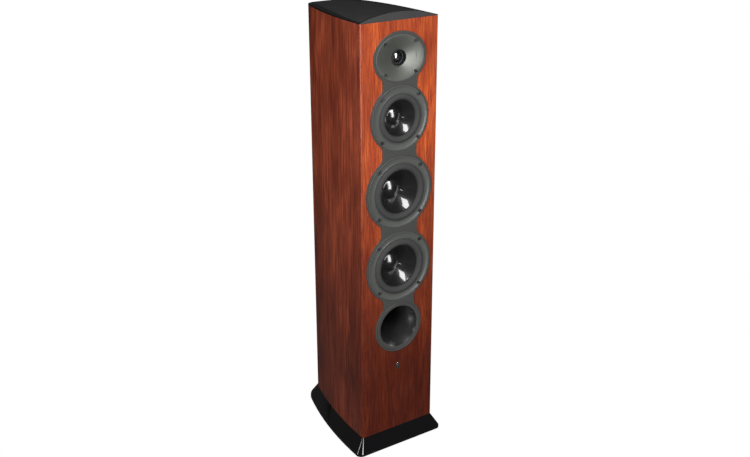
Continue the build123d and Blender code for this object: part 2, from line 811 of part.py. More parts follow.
DOME_RIM = THROAT + DOME_SET_BACK
DOME = dome_section(DOME_R, -DOME_RIM, DOME_H, DOME_T)
save(turned(TWEETER_H, DOME), "tweeter_dome")


def dome_roll():
    """Half-roll ring from the dome's rim to the throat's wall."""
    rim = -DOME_RIM
    outer = DOME_R + DOME_ROLL_W
    middle = DOME_R + DOME_ROLL_W / 2
    with BuildSketch() as section:
        with BuildLine():
            ThreePointArc((DOME_R, rim), (middle, rim + DOME_ROLL_H), (outer, rim))
            Polyline((outer, rim), (WAVEGUIDE_THROAT_R, rim), (WAVEGUIDE_THROAT_R, rim - DOME_T),
                     (outer - DOME_T, rim - DOME_T))
            ThreePointArc((outer - DOME_T, rim - DOME_T), (middle, rim + DOME_ROLL_H - DOME_T),
                          (DOME_R + DOME_T, rim - DOME_T))
            Polyline((DOME_R + DOME_T, rim - DOME_T), (DOME_R, rim - DOME_T), (DOME_R, rim))
        make_face()
    return section.sketch


save(turned(TWEETER_H, dome_roll()), "tweeter_surround")


# The former hangs from the dome's rim, with its winding at the lower end.
COIL_END = DOME_RIM + TWEETER_COIL_LEN
FORMER = block(DOME_R - 2 * DOME_T, DOME_R - DOME_T, DOME_RIM, COIL_END)
WINDING = block(DOME_R - DOME_T, DOME_R, COIL_END - TWEETER_WINDING, COIL_END)
save(turned(TWEETER_H, FORMER, WINDING), "tweeter_voice_coil")

# The motor is a closed cup: a front ring round the gap, a rear disc and the pole inside the coil.
MOTOR_END = TWEETER_BOSS_T + TWEETER_MOTOR_T
RING = block(DOME_R + COIL_GAP, TWEETER_MOTOR_R, TWEETER_BOSS_T, MOTOR_END)
DISC = block(0, TWEETER_MOTOR_R, COIL_END + TWEETER_WINDING, MOTOR_END)
POLE = block(0, DOME_R - 2 * DOME_T - COIL_GAP, TWEETER_BOSS_T - TWEETER_WINDING, MOTOR_END)
save(turned(TWEETER_H, RING, DISC, POLE), "tweeter_motor")

with BuildPart() as tweeter_lens:
    with BuildSketch(facing(TWEETER_H, THROAT + LENS_GAP)):
        Circle(WAVEGUIDE_THROAT_R)
        Circle(WAVEGUIDE_THROAT_R - LENS_RING_T, mode=Mode.SUBTRACT)
    extrude(amount=THROAT)
    with BuildSketch(facing(TWEETER_H, LENS_GAP)):
        with PolarLocations((WAVEGUIDE_THROAT_R - LENS_RING_T) / 2, LENS_SPOKES, start_angle=90):
            Rectangle(WAVEGUIDE_THROAT_R - LENS_RING_T, LENS_RING_T)
        Circle(LENS_DISC_R)
    extrude(amount=LENS_RING_T)
save(tweeter_lens.part, "tweeter_lens")


# ---------------------------------------------------------------- port
def port_section():
    """Flange, front flare, straight tube and a smaller flare at its inner end."""
    front = FLANGE_T
    bore = PORT_BORE_R
    wall = PORT_WALL
    flare = -PORT_FLARE_DEPTH
    tail = -PORT_LENGTH
    tail_start = tail + PORT_TAIL_DEPTH
    belly = (bore + FLARE_BELLY[0] * (PORT_MOUTH_R - bore), front + FLARE_BELLY[1] * (flare - front))
    tail_belly = (bore + TAIL_BELLY[0] * (PORT_TAIL_R - bore), tail + TAIL_BELLY[1] * PORT_TAIL_DEPTH)
    collar = -FASCIA_EDGE
    with BuildSketch() as section:
        with BuildLine():
            ThreePointArc((PORT_MOUTH_R, front), belly, (bore, flare))
            Line((bore, flare), (bore, tail_start))
            ThreePointArc((bore, tail_start), tail_belly, (PORT_TAIL_R, tail))
            Polyline((PORT_TAIL_R, tail), (PORT_TAIL_R + wall, tail))
            ThreePointArc(
                (PORT_TAIL_R + wall, tail), (tail_belly[0] + wall, tail_belly[1]), (bore + wall, tail_start)
            )
            Line((bore + wall, tail_start), (bore + wall, flare))
            ThreePointArc(
                (bore + wall, flare), (belly[0] + wall, belly[1] + collar), (PORT_MOUTH_R + wall, collar)
            )
            Polyline(
                (PORT_MOUTH_R + wall, collar),
                (PORT_MOUTH_R + wall, 0),
                (PORT_FLANGE_R, 0),
                (PORT_FLANGE_R, front - FASCIA_EDGE),
                (PORT_FLANGE_R - FASCIA_EDGE, front),
                (PORT_MOUTH_R, front),
            )
        make_face()
    return section.sketch


save(turned(PORT_H, port_section()), "port_tube")

# ---------------------------------------------------------------- driver screws
SCREWS = [
    (cos(radians(45 + 90 * i)) * u.screw_r, u.height + sin(radians(45 + 90 * i)) * u.screw_r)
    for u in DRIVERS
    for i in range(4)
] + [
    (sx * TWEETER_SCREWS[0], TWEETER_H + sz * TWEETER_SCREWS[1])
    for sx in (-1, 1)
    for sz in (-1, 1)
]
with BuildPart() as driver_screws:
    with BuildSketch(facing(0, -FLANGE_T)):
        with Locations(*SCREWS):
            Circle(SCREW_HEAD_R)
    extrude(amount=SCREW_HEAD_H)
    with BuildSketch(facing(0, -FLANGE_T - SCREW_SOCKET_FLOOR)):
        with Locations(*SCREWS):
            RegularPolygon(SCREW_SOCKET_R, 6)
    extrude(amount=SCREW_HEAD_H, mode=Mode.SUBTRACT)
    with BuildSketch(facing(0, -FLANGE_T)):
        with Locations(*SCREWS):
            Circle(SCREW_R)
    extrude(amount=-FLANGE_T - SCREW_BITE)
save(driver_screws.part, "driver_screws")

# ---------------------------------------------------------------- terminals
PLATE_W, PLATE_H, PLATE_T = TERMINAL_PLATE
STUD_FOOT = CABINET_D + PLATE_T
with BuildPart() as terminal_plate:
    with BuildSketch(facing(TERMINAL_H, CABINET_D)):
        RectangleRounded(PLATE_W, PLATE_H, PLATE_CORNER_R)
        with Locations((0, -TERMINAL_PITCH / 2), (0, TERMINAL_PITCH / 2)):
            Circle(STUD_R + SCREW_CLEAR, mode=Mode.SUBTRACT)
    extrude(amount=-PLATE_T)
    chamfer(terminal_plate.edges().group_by(Axis.Y)[-1], PLATE_CHAMFER)
save(terminal_plate.part, "terminal_plate")

with BuildPart() as post_studs:
    for height in STUD_HEIGHTS:
        with BuildSketch(facing(height, STUD_FOOT)):
            Circle(STUD_COLLAR_R)
        extrude(amount=-STUD_COLLAR_T)
        with BuildSketch(facing(height, CABINET_D - BACK_T - STUD_INSIDE)):
            Circle(STUD_R)
        extrude(amount=-(BACK_T + STUD_INSIDE + PLATE_T + STUD_LENGTH))
        with BuildSketch(facing(height, STUD_FOOT + STUD_LENGTH)):
            Circle(PLUG_BORE_R)
        extrude(amount=PLUG_BORE_DEPTH, mode=Mode.SUBTRACT)
save(post_studs.part, "post_studs")

WASHER_Y = STUD_FOOT + STUD_COLLAR_T + FACE_CLEAR
CAP_NUT_Y = WASHER_Y + WASHER_T + FACE_CLEAR
for height, colour in zip(STUD_HEIGHTS, ("black", "red")):
    with BuildPart() as post_washer:
        with BuildSketch(facing(height, WASHER_Y)):
            Circle(WASHER_R)
            Circle(STUD_R + THREAD_CLEAR, mode=Mode.SUBTRACT)
        extrude(amount=-WASHER_T)
    save(post_washer.part, f"post_washer_{colour}")

    with BuildPart() as post_cap:
        with BuildSketch(facing(height, CAP_NUT_Y)):
            Circle(CAP_NUT_R)
            with PolarLocations(CAP_NUT_R + FLUTE_OUT, CAP_NUT_FLUTES):
                Circle(FLUTE_R, mode=Mode.SUBTRACT)
            Circle(STUD_R + THREAD_CLEAR, mode=Mode.SUBTRACT)
        extrude(amount=-CAP_NUT_LENGTH)
    save(post_cap.part, f"post_cap_{colour}")

# ---------------------------------------------------------------- crossover board
BOARD_Z = PANEL_T + BOARD_LIFT
BOARD_TOP = BASE_Z + BOARD_Z + BOARD[2]
BOARD_Y = FRONT_Y + BOARD_DEPTH
with BuildPart() as crossover_board:
    with BuildSketch(Plane.XY.offset(BASE_Z + BOARD_Z)):
        with Locations((0, BOARD_Y)):
            Rectangle(BOARD[0], BOARD[1])
    extrude(amount=BOARD[2])
    with BuildSketch(Plane.XY.offset(BASE_Z + PANEL_T)):
        with Locations((0, BOARD_Y)):
            with GridLocations(BOARD[0] - 2 * BOARD_POST_IN, BOARD[1] - 2 * BOARD_POST_IN, 2, 2):
                Circle(BOARD_POST_R)
    extrude(amount=BOARD_LIFT)
    with BuildSketch(Plane.XY.offset(BOARD_TOP)):
        with Locations((0, BOARD_Y)):
            with GridLocations(*INDUCTOR_PITCH, 2, 2):
                Circle(INDUCTOR[0])
                Circle(INDUCTOR[1], mode=Mode.SUBTRACT)
    extrude(amount=INDUCTOR[2])
    with BuildSketch(Plane.XY.offset(BOARD_TOP)):
        with Locations((0, BOARD_Y)):
            with GridLocations(CAPACITOR_PITCH, CAPACITOR_PITCH, 1, 3):
                Rectangle(CAPACITOR[0], CAPACITOR[1])
    extrude(amount=CAPACITOR[2])
save(crossover_board.part, "crossover_board")
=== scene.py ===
"""Looks of a floorstanding speaker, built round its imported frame. Metres, +Z up, front towards -Y."""

import logging
import math
from dataclasses import dataclass
from enum import Enum
from typing import Sequence, Union

import bmesh
import bpy
from mathutils import Matrix, Vector
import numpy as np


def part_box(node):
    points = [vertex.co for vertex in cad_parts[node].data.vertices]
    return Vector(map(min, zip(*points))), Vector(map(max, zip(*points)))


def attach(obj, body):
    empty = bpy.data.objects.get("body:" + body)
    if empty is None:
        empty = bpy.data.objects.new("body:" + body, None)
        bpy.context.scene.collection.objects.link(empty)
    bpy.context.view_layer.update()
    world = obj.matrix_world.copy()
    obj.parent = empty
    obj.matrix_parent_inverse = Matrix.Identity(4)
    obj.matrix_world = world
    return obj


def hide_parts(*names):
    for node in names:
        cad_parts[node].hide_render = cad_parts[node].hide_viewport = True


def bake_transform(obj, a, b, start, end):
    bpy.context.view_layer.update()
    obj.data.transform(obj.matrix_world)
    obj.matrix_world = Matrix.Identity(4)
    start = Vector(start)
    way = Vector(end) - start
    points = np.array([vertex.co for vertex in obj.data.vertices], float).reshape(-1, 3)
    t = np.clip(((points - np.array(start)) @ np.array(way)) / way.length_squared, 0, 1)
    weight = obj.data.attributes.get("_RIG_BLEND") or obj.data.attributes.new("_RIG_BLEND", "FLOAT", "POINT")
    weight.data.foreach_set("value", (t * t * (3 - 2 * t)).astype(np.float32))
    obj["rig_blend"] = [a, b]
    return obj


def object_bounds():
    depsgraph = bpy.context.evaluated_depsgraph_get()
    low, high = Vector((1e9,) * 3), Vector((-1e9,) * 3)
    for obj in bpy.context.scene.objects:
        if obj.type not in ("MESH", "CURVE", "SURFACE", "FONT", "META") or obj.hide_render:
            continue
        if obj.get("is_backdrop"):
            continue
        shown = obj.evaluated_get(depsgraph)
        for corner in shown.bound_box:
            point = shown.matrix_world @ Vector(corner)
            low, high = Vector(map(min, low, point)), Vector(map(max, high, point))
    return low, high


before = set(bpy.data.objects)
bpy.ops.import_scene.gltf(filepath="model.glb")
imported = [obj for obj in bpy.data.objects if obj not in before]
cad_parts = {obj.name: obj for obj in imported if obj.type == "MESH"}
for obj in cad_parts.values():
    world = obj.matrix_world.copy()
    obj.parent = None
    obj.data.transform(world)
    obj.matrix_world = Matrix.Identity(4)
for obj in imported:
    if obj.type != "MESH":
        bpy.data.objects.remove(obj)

CAD_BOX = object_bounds()
LOG = logging.getLogger("speaker")
MM = 0.001
ROOT = "root"
TURN_STEPS = 128
SMOOTH_ANGLE = math.radians(32)
MERGE = 1e-6  # distance under which a piece's vertices are one
DUST_COLOUR = (0.35, 0.33, 0.31)

Colour = tuple[float, float, float]
Point = tuple[float, float]
Profile = list[Point]
Node = bpy.types.Node
Socket = bpy.types.NodeSocket
Piece = bpy.types.Object
Mesh = bmesh.types.BMesh
Value = Union[float, Colour, Vector, Socket]


# ---- shader tools
class Graph:
    """Adds and joins the nodes of one shader tree."""

    def __init__(self, tree: bpy.types.NodeTree) -> None:
        """Work on the node tree of a material, a world or a group."""
        self.tree = tree

    def put(self, socket: Socket, value: Value) -> None:
        """Link a socket, or set its own value.

        Args:
            socket: the input to fill.
            value: another node's output, or a constant.
        """
        if isinstance(value, Socket):
            self.tree.links.new(value, socket)
        elif isinstance(value, tuple) and len(value) == 3 and socket.type == "RGBA":
            socket.default_value = (*value, 1.0)
        else:
            socket.default_value = value

    def node(self, kind: str, options: dict | None = None, **inputs: Value) -> Node:
        """Add a node.

        Args:
            kind: the node's type without its ShaderNode prefix.
            options: attributes to set on the node.
            inputs: sockets to fill, with _ for a space in a name.

        Returns:
            The new node.
        """
        made = self.tree.nodes.new("ShaderNode" + kind)
        for key, value in (options or {}).items():
            setattr(made, key, value)
        for key, value in inputs.items():
            self.put(made.inputs[key.replace("_", " ")], value)
        return made

    def sum(self, operation: str, *values: Value) -> Socket:
        """Do arithmetic.

        Args:
            operation: the Math node's operation.
            values: its inputs, in order.

        Returns:
            The result.
        """
        made = self.node("Math", {"operation": operation})
        for socket, value in zip(made.inputs, values):
            self.put(socket, value)
        return made.outputs[0]

    def spread(self, value: Value, low: float, high: float, to_low: Value = 0.0,
               to_high: Value = 1.0) -> Socket:
        """Map the range from low to high smoothly on to another, clamped."""
        return self.node("MapRange", {"interpolation_type": "SMOOTHSTEP"}, Value=value, From_Min=low,
                         From_Max=high, To_Min=to_low, To_Max=to_high).outputs[0]

    def times(self, *values: Value) -> Socket:
        """The product of two values."""
        return self.sum("MULTIPLY", *values)

    def blend(self, share: Value, first: Value, second: Value, how: str = "MIX") -> Socket:
        """Mix two colours.

        Args:
            share: how much of the second is used.
            first: the colour at 0.
            second: the colour at 1.
            how: the blend type.

        Returns:
            The mixed colour.
        """
        made = self.node("Mix", {"data_type": "RGBA", "blend_type": how})
        self.put(made.inputs[0], share)
        self.put(made.inputs[6], first)
        self.put(made.inputs[7], second)
        return made.outputs[2]

    def noise(self, at: Value, scale: Value, detail: float = 3.0,
              rough: float = 0.55) -> Socket:
        """Soft noise round 0.5, with so many cells per metre, octaves, and weight of the fine ones."""
        return self.node("TexNoise", None, Vector=at, Scale=scale, Detail=detail, Roughness=rough).outputs[0]

    def stretched(self, at: Value, scale: Colour) -> Socket:
        """A pattern's coordinates, times a factor along each axis."""
        return self.node("Mapping", None, Vector=at, Scale=scale).outputs[0]

    def group(self, name: str, **inputs: Value) -> Node:
        """Place a shared effect, by its group's name and with its values."""
        return self.node("Group", {"node_tree": bpy.data.node_groups[name]}, **inputs)


def new_group(name: str, inputs: dict[str, float | None],
              outputs: Sequence[str]) -> tuple[Graph, dict, bpy.types.bpy_prop_collection]:
    """Start a shared effect.

    Args:
        name: the group's name.
        inputs: input names with their default; None is a vector.
        outputs: names of the values that it puts out.

    Returns:
        Its graph, its inputs and its outputs by name.
    """
    tree = bpy.data.node_groups.new(name, "ShaderNodeTree")
    for key, default in inputs.items():
        kind = "NodeSocketVector" if default is None else "NodeSocketFloat"
        socket = tree.interface.new_socket(name=key, in_out="INPUT", socket_type=kind)
        if default is not None:
            socket.default_value = default
    for key in outputs:
        tree.interface.new_socket(name=key, in_out="OUTPUT", socket_type="NodeSocketFloat")
    start = tree.nodes.new("NodeGroupInput")
    end = tree.nodes.new("NodeGroupOutput")
    return Graph(tree), {key: start.outputs[key] for key in inputs}, end.inputs


class Effects:
    """The surface effects that several finishes share, each built once as a node group."""

    MOTTLE = "surface_mottle"
    WEAR = "edge_wear"
    DUST = "settled_dust"
    GRAIN = "veneer_grain"
    WEAVE = "cloth_weave"

    @classmethod
    def build(cls) -> None:
        """Make every group."""
        cls._mottle()
        cls._wear()
        cls._dust()
        cls._grain()
        cls._weave()

    @classmethod
    def _mottle(cls) -> None:
        """A value that wanders between two limits, and the fine height of the same surface."""
        graph, given, out = new_group(cls.MOTTLE, {"Vector": None, "Scale": 60.0, "Low": 0.3, "High": 0.4},
                                      ("Value", "Height"))
        broad = graph.noise(given["Vector"], given["Scale"])
        mapped = graph.node("MapRange", None, Value=broad, From_Min=0.3, From_Max=0.7,
                            To_Min=given["Low"], To_Max=given["High"])
        graph.put(out["Value"], mapped.outputs[0])
        fine = graph.times(given["Scale"], 30.0)
        graph.put(out["Height"], graph.noise(given["Vector"], fine, 2.0))

    @classmethod
    def _wear(cls) -> None:
        """Where edges have been rubbed: high on convex edges, broken up by noise."""
        graph, given, out = new_group(cls.WEAR, {"Vector": None, "Amount": 0.3}, ("Mask",))
        edge = graph.spread(graph.node("NewGeometry").outputs["Pointiness"], 0.52, 0.62)
        broken = graph.spread(graph.noise(given["Vector"], 220.0), 0.4, 0.7)
        both = graph.times(edge, broken)
        graph.put(out["Mask"], graph.times(both, given["Amount"]))

    @classmethod
    def _dust(cls) -> None:
        """Fine dust on what faces up."""
        graph, given, out = new_group(cls.DUST, {"Vector": None, "Amount": 0.1}, ("Mask",))
        parts = graph.node("SeparateXYZ", None, Vector=graph.node("NewGeometry").outputs["Normal"])
        upward = graph.spread(parts.outputs["Z"], 0.55, 0.95)
        broad = graph.spread(graph.noise(given["Vector"], 18.0, 5.0, 0.7), 0.35, 0.7, 0.2, 1.0)
        specks = graph.spread(graph.noise(given["Vector"], 1500.0, 1.0), 0.62, 0.72, 0.35, 1.0)
        both = graph.times(graph.times(upward, broad), specks)
        graph.put(out["Mask"], graph.times(both, given["Amount"]))

    @classmethod
    def _grain(cls) -> None:
        """Upright wood grain: streaks, a slow figure, darker patches, and short open pores."""
        graph, given, out = new_group(
            cls.GRAIN, {"Vector": None, "Streaks": 300.0, "Figure": 30.0, "Drift": 1.2, "Patches": 9.0},
            ("Streak", "Figure", "Patch", "Pore"))
        at = given["Vector"]
        streak = graph.noise(graph.stretched(at, (1, 1, 0.03)), given["Streaks"], 5.0, 0.7)
        graph.put(out["Streak"], graph.spread(streak, 0.35, 0.66))
        parts = graph.node("SeparateXYZ", None, Vector=at)
        across = graph.sum("ADD", parts.outputs["X"], parts.outputs["Y"])
        bend = graph.noise(graph.stretched(at, (1, 1, 0.22)), 7.0, 2.0, 0.4)
        phase = graph.sum("ADD", graph.times(across, given["Figure"]),
                          graph.times(bend, graph.times(given["Drift"], 6.0)))
        rings = graph.sum("SINE", graph.times(phase, math.tau))
        graph.put(out["Figure"], graph.spread(rings, -1.0, 1.0))
        patch = graph.noise(graph.stretched(at, (1, 1, 0.3)), given["Patches"], 4.0, 0.6)
        graph.put(out["Patch"], graph.spread(patch, 0.36, 0.66))
        pore = graph.noise(graph.stretched(at, (1, 1, 0.035)), 1500.0, 1.0)
        graph.put(out["Pore"], graph.spread(pore, 0.62, 0.72))

    @classmethod
    def _weave(cls) -> None:
        """Plain weave of warp and weft."""
        graph, given, out = new_group(cls.WEAVE, {"Vector": None, "Pitch": 900.0}, ("Height",))
        parts = graph.node("SeparateXYZ", None, Vector=given["Vector"])
        turns = graph.times(given["Pitch"], math.tau)
        warp, weft = (graph.sum("SINE", graph.times(parts.outputs[axis], turns)) for axis in "XZ")
        crossed = graph.times(warp, weft)
        graph.put(out["Height"], graph.spread(crossed, -1.0, 1.0))


# ---- finishes
class Skin(Graph):
    """The tree of one finish, with its Principled shader and the piece's own coordinates in metres."""

    def __init__(self, material: bpy.types.Material) -> None:
        """Work on a new material's tree."""
        super().__init__(material.node_tree)
        self.shader = material.node_tree.nodes["Principled BSDF"]
        self.at = self.node("TexCoord").outputs["Object"]

    def fill(self, **inputs: Value) -> None:
        """Fill in the shader's inputs, with _ for a space in a name."""
        for key, value in inputs.items():
            self.put(self.shader.inputs[key.replace("_", " ")], value)

    def mottle(self, scale: float, low: float, high: float, marks: Colour | None = None) -> Node:
        """The shared mottle: a roughness between two limits, in cells stretched along marks."""
        at = self.stretched(self.at, marks) if marks else self.at
        return self.group(Effects.MOTTLE, Vector=at, Scale=scale, Low=low, High=high)

    def bump(self, height: Value, depth: float, strength: float) -> None:
        """Give the shader a relief of so many metres from its lowest to its highest point."""
        relief = self.node("Bump", None, Strength=strength, Distance=depth, Height=height)
        self.fill(Normal=relief.outputs[0])


def toned(colour: Colour, factor: float, lift: float = 0.0) -> Colour:
    """A colour times a factor, plus a lift, up to 1."""
    return tuple(min(1.0, factor * part + lift) for part in colour)


class Finish:
    """A surface finish. Each kind fills in its own Principled shader."""

    name: str

    def material(self) -> bpy.types.Material:
        """Make the material, or find it if it was made before.

        Returns:
            The material.
        """
        found = bpy.data.materials.get(self.name)
        if found:
            return found
        made = bpy.data.materials.new(self.name)
        made.use_nodes = True
        self.dress(Skin(made))
        return made

    def dress(self, skin: Skin) -> None:
        """Fill in the shader.

        Args:
            skin: the material's tree.
        """
        raise NotImplementedError


@dataclass(frozen=True)
class Veneer(Finish):
    """Reddish-brown veneer under clear gloss lacquer, with a painted shade that darkens it from the top of
    the cabinet down to its foot.
    """

    name: str
    light: Colour
    dark: Colour
    foot: Colour  # painted shade: what the tone is multiplied by at the foot, standing in for light falling off down the cabinet
    streaks: float
    figure: float
    drift: float
    patches: float
    patch_depth: float
    gloss: float = 0.06
    painted_shade_heights: tuple[float, float] = (0.15, 0.86)  # heights between which the painted shade at the foot fades out

    def dress(self, skin: Skin) -> None:
        """Grain, figure, patches and pores under a coat, with painted shade towards the foot.

        Args:
            skin: the material's tree.
        """
        grain = skin.group(Effects.GRAIN, Vector=skin.at, Streaks=self.streaks, Figure=self.figure,
                           Drift=self.drift, Patches=self.patches)
        tone = skin.blend(grain.outputs["Streak"], self.dark, self.light)
        layers = (("Figure", 0.35, self.dark), ("Patch", self.patch_depth, toned(self.dark, 0.45)),
                  ("Pore", 0.45, (0.02, 0.005, 0.003)))
        for effect, depth, under in layers:
            tone = skin.blend(skin.times(grain.outputs[effect], depth), tone, under)
        # painted shade: the tone is multiplied down towards the foot, as light falling off would darken it
        height = skin.node("SeparateXYZ", None, Vector=skin.at).outputs["Z"]
        share = skin.spread(height, *self.painted_shade_heights, 1.0, 0.0)
        tone = skin.blend(share, tone, skin.blend(1.0, tone, self.foot, "MULTIPLY"))
        skin.fill(Base_Color=tone, Roughness=skin.mottle(12.0, 0.28, 0.4).outputs["Value"], Coat_Weight=1.0,
                  Coat_Roughness=self.gloss, Coat_IOR=1.48)
        skin.bump(grain.outputs["Pore"], -0.00005, 0.25)


@dataclass(frozen=True)
class Moulded(Finish):
    """Plastic, lacquer or rubber of one colour."""

    name: str
    colour: Colour
    low: float  # lowest roughness
    high: float  # highest roughness
    scale: float = 60.0
    texture: float = 0.00002
    coat: float = 0.0
    coat_rough: float = 0.05
    coat_ior: float = 1.5
    wear: float = 0.2
    dust: float = 0.03
    metallic: float = 0.0
    level: float = 0.5

    def dress(self, skin: Skin) -> None:
        """One colour with wandering roughness, paler worn edges and dust.

        Args:
            skin: the material's tree.
        """
        mottle = skin.mottle(self.scale, self.low, self.high)
        worn = skin.group(Effects.WEAR, Vector=skin.at, Amount=self.wear).outputs["Mask"]
        dusty = skin.group(Effects.DUST, Vector=skin.at, Amount=self.dust).outputs["Mask"]
        base = skin.blend(worn, self.colour, toned(self.colour, 1.6, 0.02))
        shade = skin.times(mottle.outputs["Height"], 0.25)
        base = skin.blend(shade, base, toned(self.colour, 0.7))
        rough = skin.sum("ADD", mottle.outputs["Value"], skin.times(dusty, 0.5))
        skin.fill(Base_Color=skin.blend(dusty, base, DUST_COLOUR), Roughness=rough, Metallic=self.metallic,
                  Specular_IOR_Level=self.level, Coat_Weight=self.coat, Coat_Roughness=self.coat_rough,
                  Coat_IOR=self.coat_ior)
        skin.bump(mottle.outputs["Height"], self.texture, 0.5)


@dataclass(frozen=True)
class Metal(Finish):
    """Turned or plated metal with fine marks round or along it."""

    name: str
    colour: Colour
    low: float
    high: float
    marks: tuple[float, float, float] = (1.0, 1.0, 1.0)
    depth: float = 0.00001
    wear: float = 0.3

    def dress(self, skin: Skin) -> None:
        """Bare metal, brighter where edges are rubbed.

        Args:
            skin: the material's tree.
        """
        mottle = skin.mottle(90.0, self.low, self.high, self.marks)
        worn = skin.group(Effects.WEAR, Vector=skin.at, Amount=self.wear).outputs["Mask"]
        base = skin.blend(mottle.outputs["Height"], self.colour, toned(self.colour, 0.75))
        skin.fill(Base_Color=skin.blend(worn, base, toned(self.colour, 1.3)), Metallic=1.0,
                  Roughness=mottle.outputs["Value"])
        skin.bump(mottle.outputs["Height"], self.depth, 0.4)


@dataclass(frozen=True)
class Cloth(Finish):
    """Resin-stiffened woven cloth."""

    name: str
    colour: Colour
    pitch: float = 900.0

    def dress(self, skin: Skin) -> None:
        """Threads over and under, darker between.

        Args:
            skin: the material's tree.
        """
        weave = skin.group(Effects.WEAVE, Vector=skin.at, Pitch=self.pitch).outputs["Height"]
        skin.fill(Base_Color=skin.blend(weave, toned(self.colour, 0.5), self.colour),
                  Roughness=skin.mottle(80.0, 0.6, 0.8).outputs["Value"])
        skin.bump(weave, 0.0002, 0.7)


@dataclass(frozen=True)
class Fibreboard(Finish):
    """Raw pressed board: pale brown with fibres and flecks."""

    name: str
    colour: Colour

    def dress(self, skin: Skin) -> None:
        """Flecks and soft clouds of darker fibre.

        Args:
            skin: the material's tree.
        """
        fleck = skin.spread(skin.noise(skin.at, 900.0, 3.0), 0.4, 0.65)
        base = skin.blend(fleck, self.colour, toned(self.colour, 0.6))
        skin.fill(Base_Color=skin.blend(skin.noise(skin.at, 14.0, 4.0), base, toned(self.colour, 0.8)),
                  Roughness=skin.mottle(200.0, 0.75, 0.9).outputs["Value"])
        skin.bump(fleck, 0.0001, 0.5)


class Finishes(Enum):
    """Every finish on the speaker."""

    # the foot colours (0.2, 0.16, 0.17) and (0.4, 0.35, 0.34) are painted shade towards the cabinet's foot
    FRONT = Veneer("veneer_front", (0.62, 0.125, 0.028), (0.22, 0.026, 0.012), (0.2, 0.16, 0.17),
                   streaks=560.0, figure=26.0, drift=0.8, patches=14.0, patch_depth=0.4)
    SIDE = Veneer("veneer_side", (0.50, 0.105, 0.042), (0.15, 0.024, 0.013), (0.4, 0.35, 0.34),
                  streaks=240.0, figure=16.0, drift=2.4, patches=13.0, patch_depth=0.6)
    CAP = Moulded("cap_satin", (0.018, 0.018, 0.02), 0.3, 0.36, dust=0.05)
    CAP_RIM = Moulded("cap_rim_gloss", (0.006, 0.006, 0.0065), 0.2, 0.26, dust=0.02)
    # painted light: the cap's black made lighter on its front facet, as if lit from the front
    PAINTED_LIT_FACET = Moulded("cap_facet_painted_light", (0.031, 0.031, 0.031), 0.34, 0.4, dust=0.02)
    FASCIA = Moulded("fascia_satin", (0.043, 0.044, 0.042), 0.42, 0.5, texture=0.00003, dust=0.0)
    FLANGE = Moulded("flange_satin", (0.068, 0.071, 0.067), 0.32, 0.4, texture=0.00003, dust=0.0)
    RUBBER = Moulded("rubber", (0.07, 0.07, 0.072), 0.42, 0.5, scale=120.0, texture=0.00003, coat=1.0,
                     coat_rough=0.4, coat_ior=2.3, wear=0.1, dust=0.0)
    CONE = Moulded("cone_gloss", (0.008, 0.008, 0.0085), 0.3, 0.36, scale=30.0, texture=0.000004, coat=0.9,
                   coat_rough=0.07, coat_ior=1.6, wear=0.0, dust=0.0, level=0.3)
    DOME_CAP = Moulded("dust_cap_gloss", (0.006, 0.006, 0.0065), 0.2, 0.26, scale=40.0, texture=0.000002,
                       coat=1.0, coat_rough=0.2, coat_ior=2.1, wear=0.0, dust=0.0)
    PORT = Moulded("port_gloss", (0.012, 0.012, 0.012), 0.3, 0.36, scale=30.0, texture=0.000002, coat=1.0,
                   coat_rough=0.22, coat_ior=1.9, wear=0.0, dust=0.0)
    WAVEGUIDE = Moulded("waveguide_satin", (0.19, 0.198, 0.178), 0.34, 0.42, scale=40.0, texture=0.00001,
                        wear=0.3, dust=0.0, metallic=0.75)
    PLINTH = Moulded("plinth_gloss", (0.003, 0.003, 0.0035), 0.06, 0.1, scale=20.0, texture=0.000002,
                     coat=1.0, coat_rough=0.03, coat_ior=1.75, wear=0.0, dust=0.0)
    BLACK_PART = Moulded("black_plastic", (0.01, 0.01, 0.01), 0.22, 0.3)
    RED_PART = Moulded("red_plastic", (0.35, 0.008, 0.008), 0.15, 0.22, coat=0.6)
    BLACK_SCREW = Metal("blackened_steel", (0.24, 0.24, 0.24), 0.3, 0.42)
    STEEL = Metal("plated_steel", (0.55, 0.55, 0.56), 0.22, 0.34)
    BRIGHT = Metal("polished_metal", (0.92, 0.92, 0.94), 0.14, 0.2, wear=0.1)
    DOME = Metal("dome_metal", (0.32, 0.32, 0.33), 0.16, 0.22, wear=0.0)
    GOLD = Metal("gold_plate", (0.83, 0.58, 0.22), 0.16, 0.26)
    COPPER = Metal("copper_winding", (0.6, 0.24, 0.1), 0.28, 0.4, marks=(0.1, 6.0, 0.1), depth=0.00008)
    FERRITE = Moulded("ferrite", (0.03, 0.03, 0.032), 0.5, 0.62, scale=140.0, texture=0.0001)
    SPIDER = Cloth("spider_cloth", (0.4, 0.26, 0.1))
    BOARD = Fibreboard("fibreboard", (0.42, 0.29, 0.17))
    CIRCUIT = Moulded("circuit_board", (0.03, 0.12, 0.05), 0.3, 0.4, scale=400.0)

    def material(self) -> bpy.types.Material:
        """The finish's material."""
        return self.value.material()


# ---- mesh tools
def finished(name: str, bm: Mesh, finishes: Sequence[Finishes],
             turn_out: bool = True) -> Piece:
    """Turn a finished bmesh into a piece.

    Args:
        name: the piece's name.
        bm: its mesh, which is freed.
        finishes: one for each material index.
        turn_out: whether its normals are recalculated outwards.

    Returns:
        The piece, at the origin, smooth except along sharp edges.
    """
    bmesh.ops.remove_doubles(bm, verts=bm.verts, dist=MERGE)
    if turn_out:
        bmesh.ops.recalc_face_normals(bm, faces=bm.faces)
    mesh = bpy.data.meshes.new(name)
    bm.to_mesh(mesh)
    bm.free()
    mesh.shade_smooth()
    mesh.set_sharp_from_angle(angle=SMOOTH_ANGLE)
    for finish in finishes:
        mesh.materials.append(finish.material())
    piece = bpy.data.objects.new(name, mesh)
    bpy.context.scene.collection.objects.link(piece)
    return piece


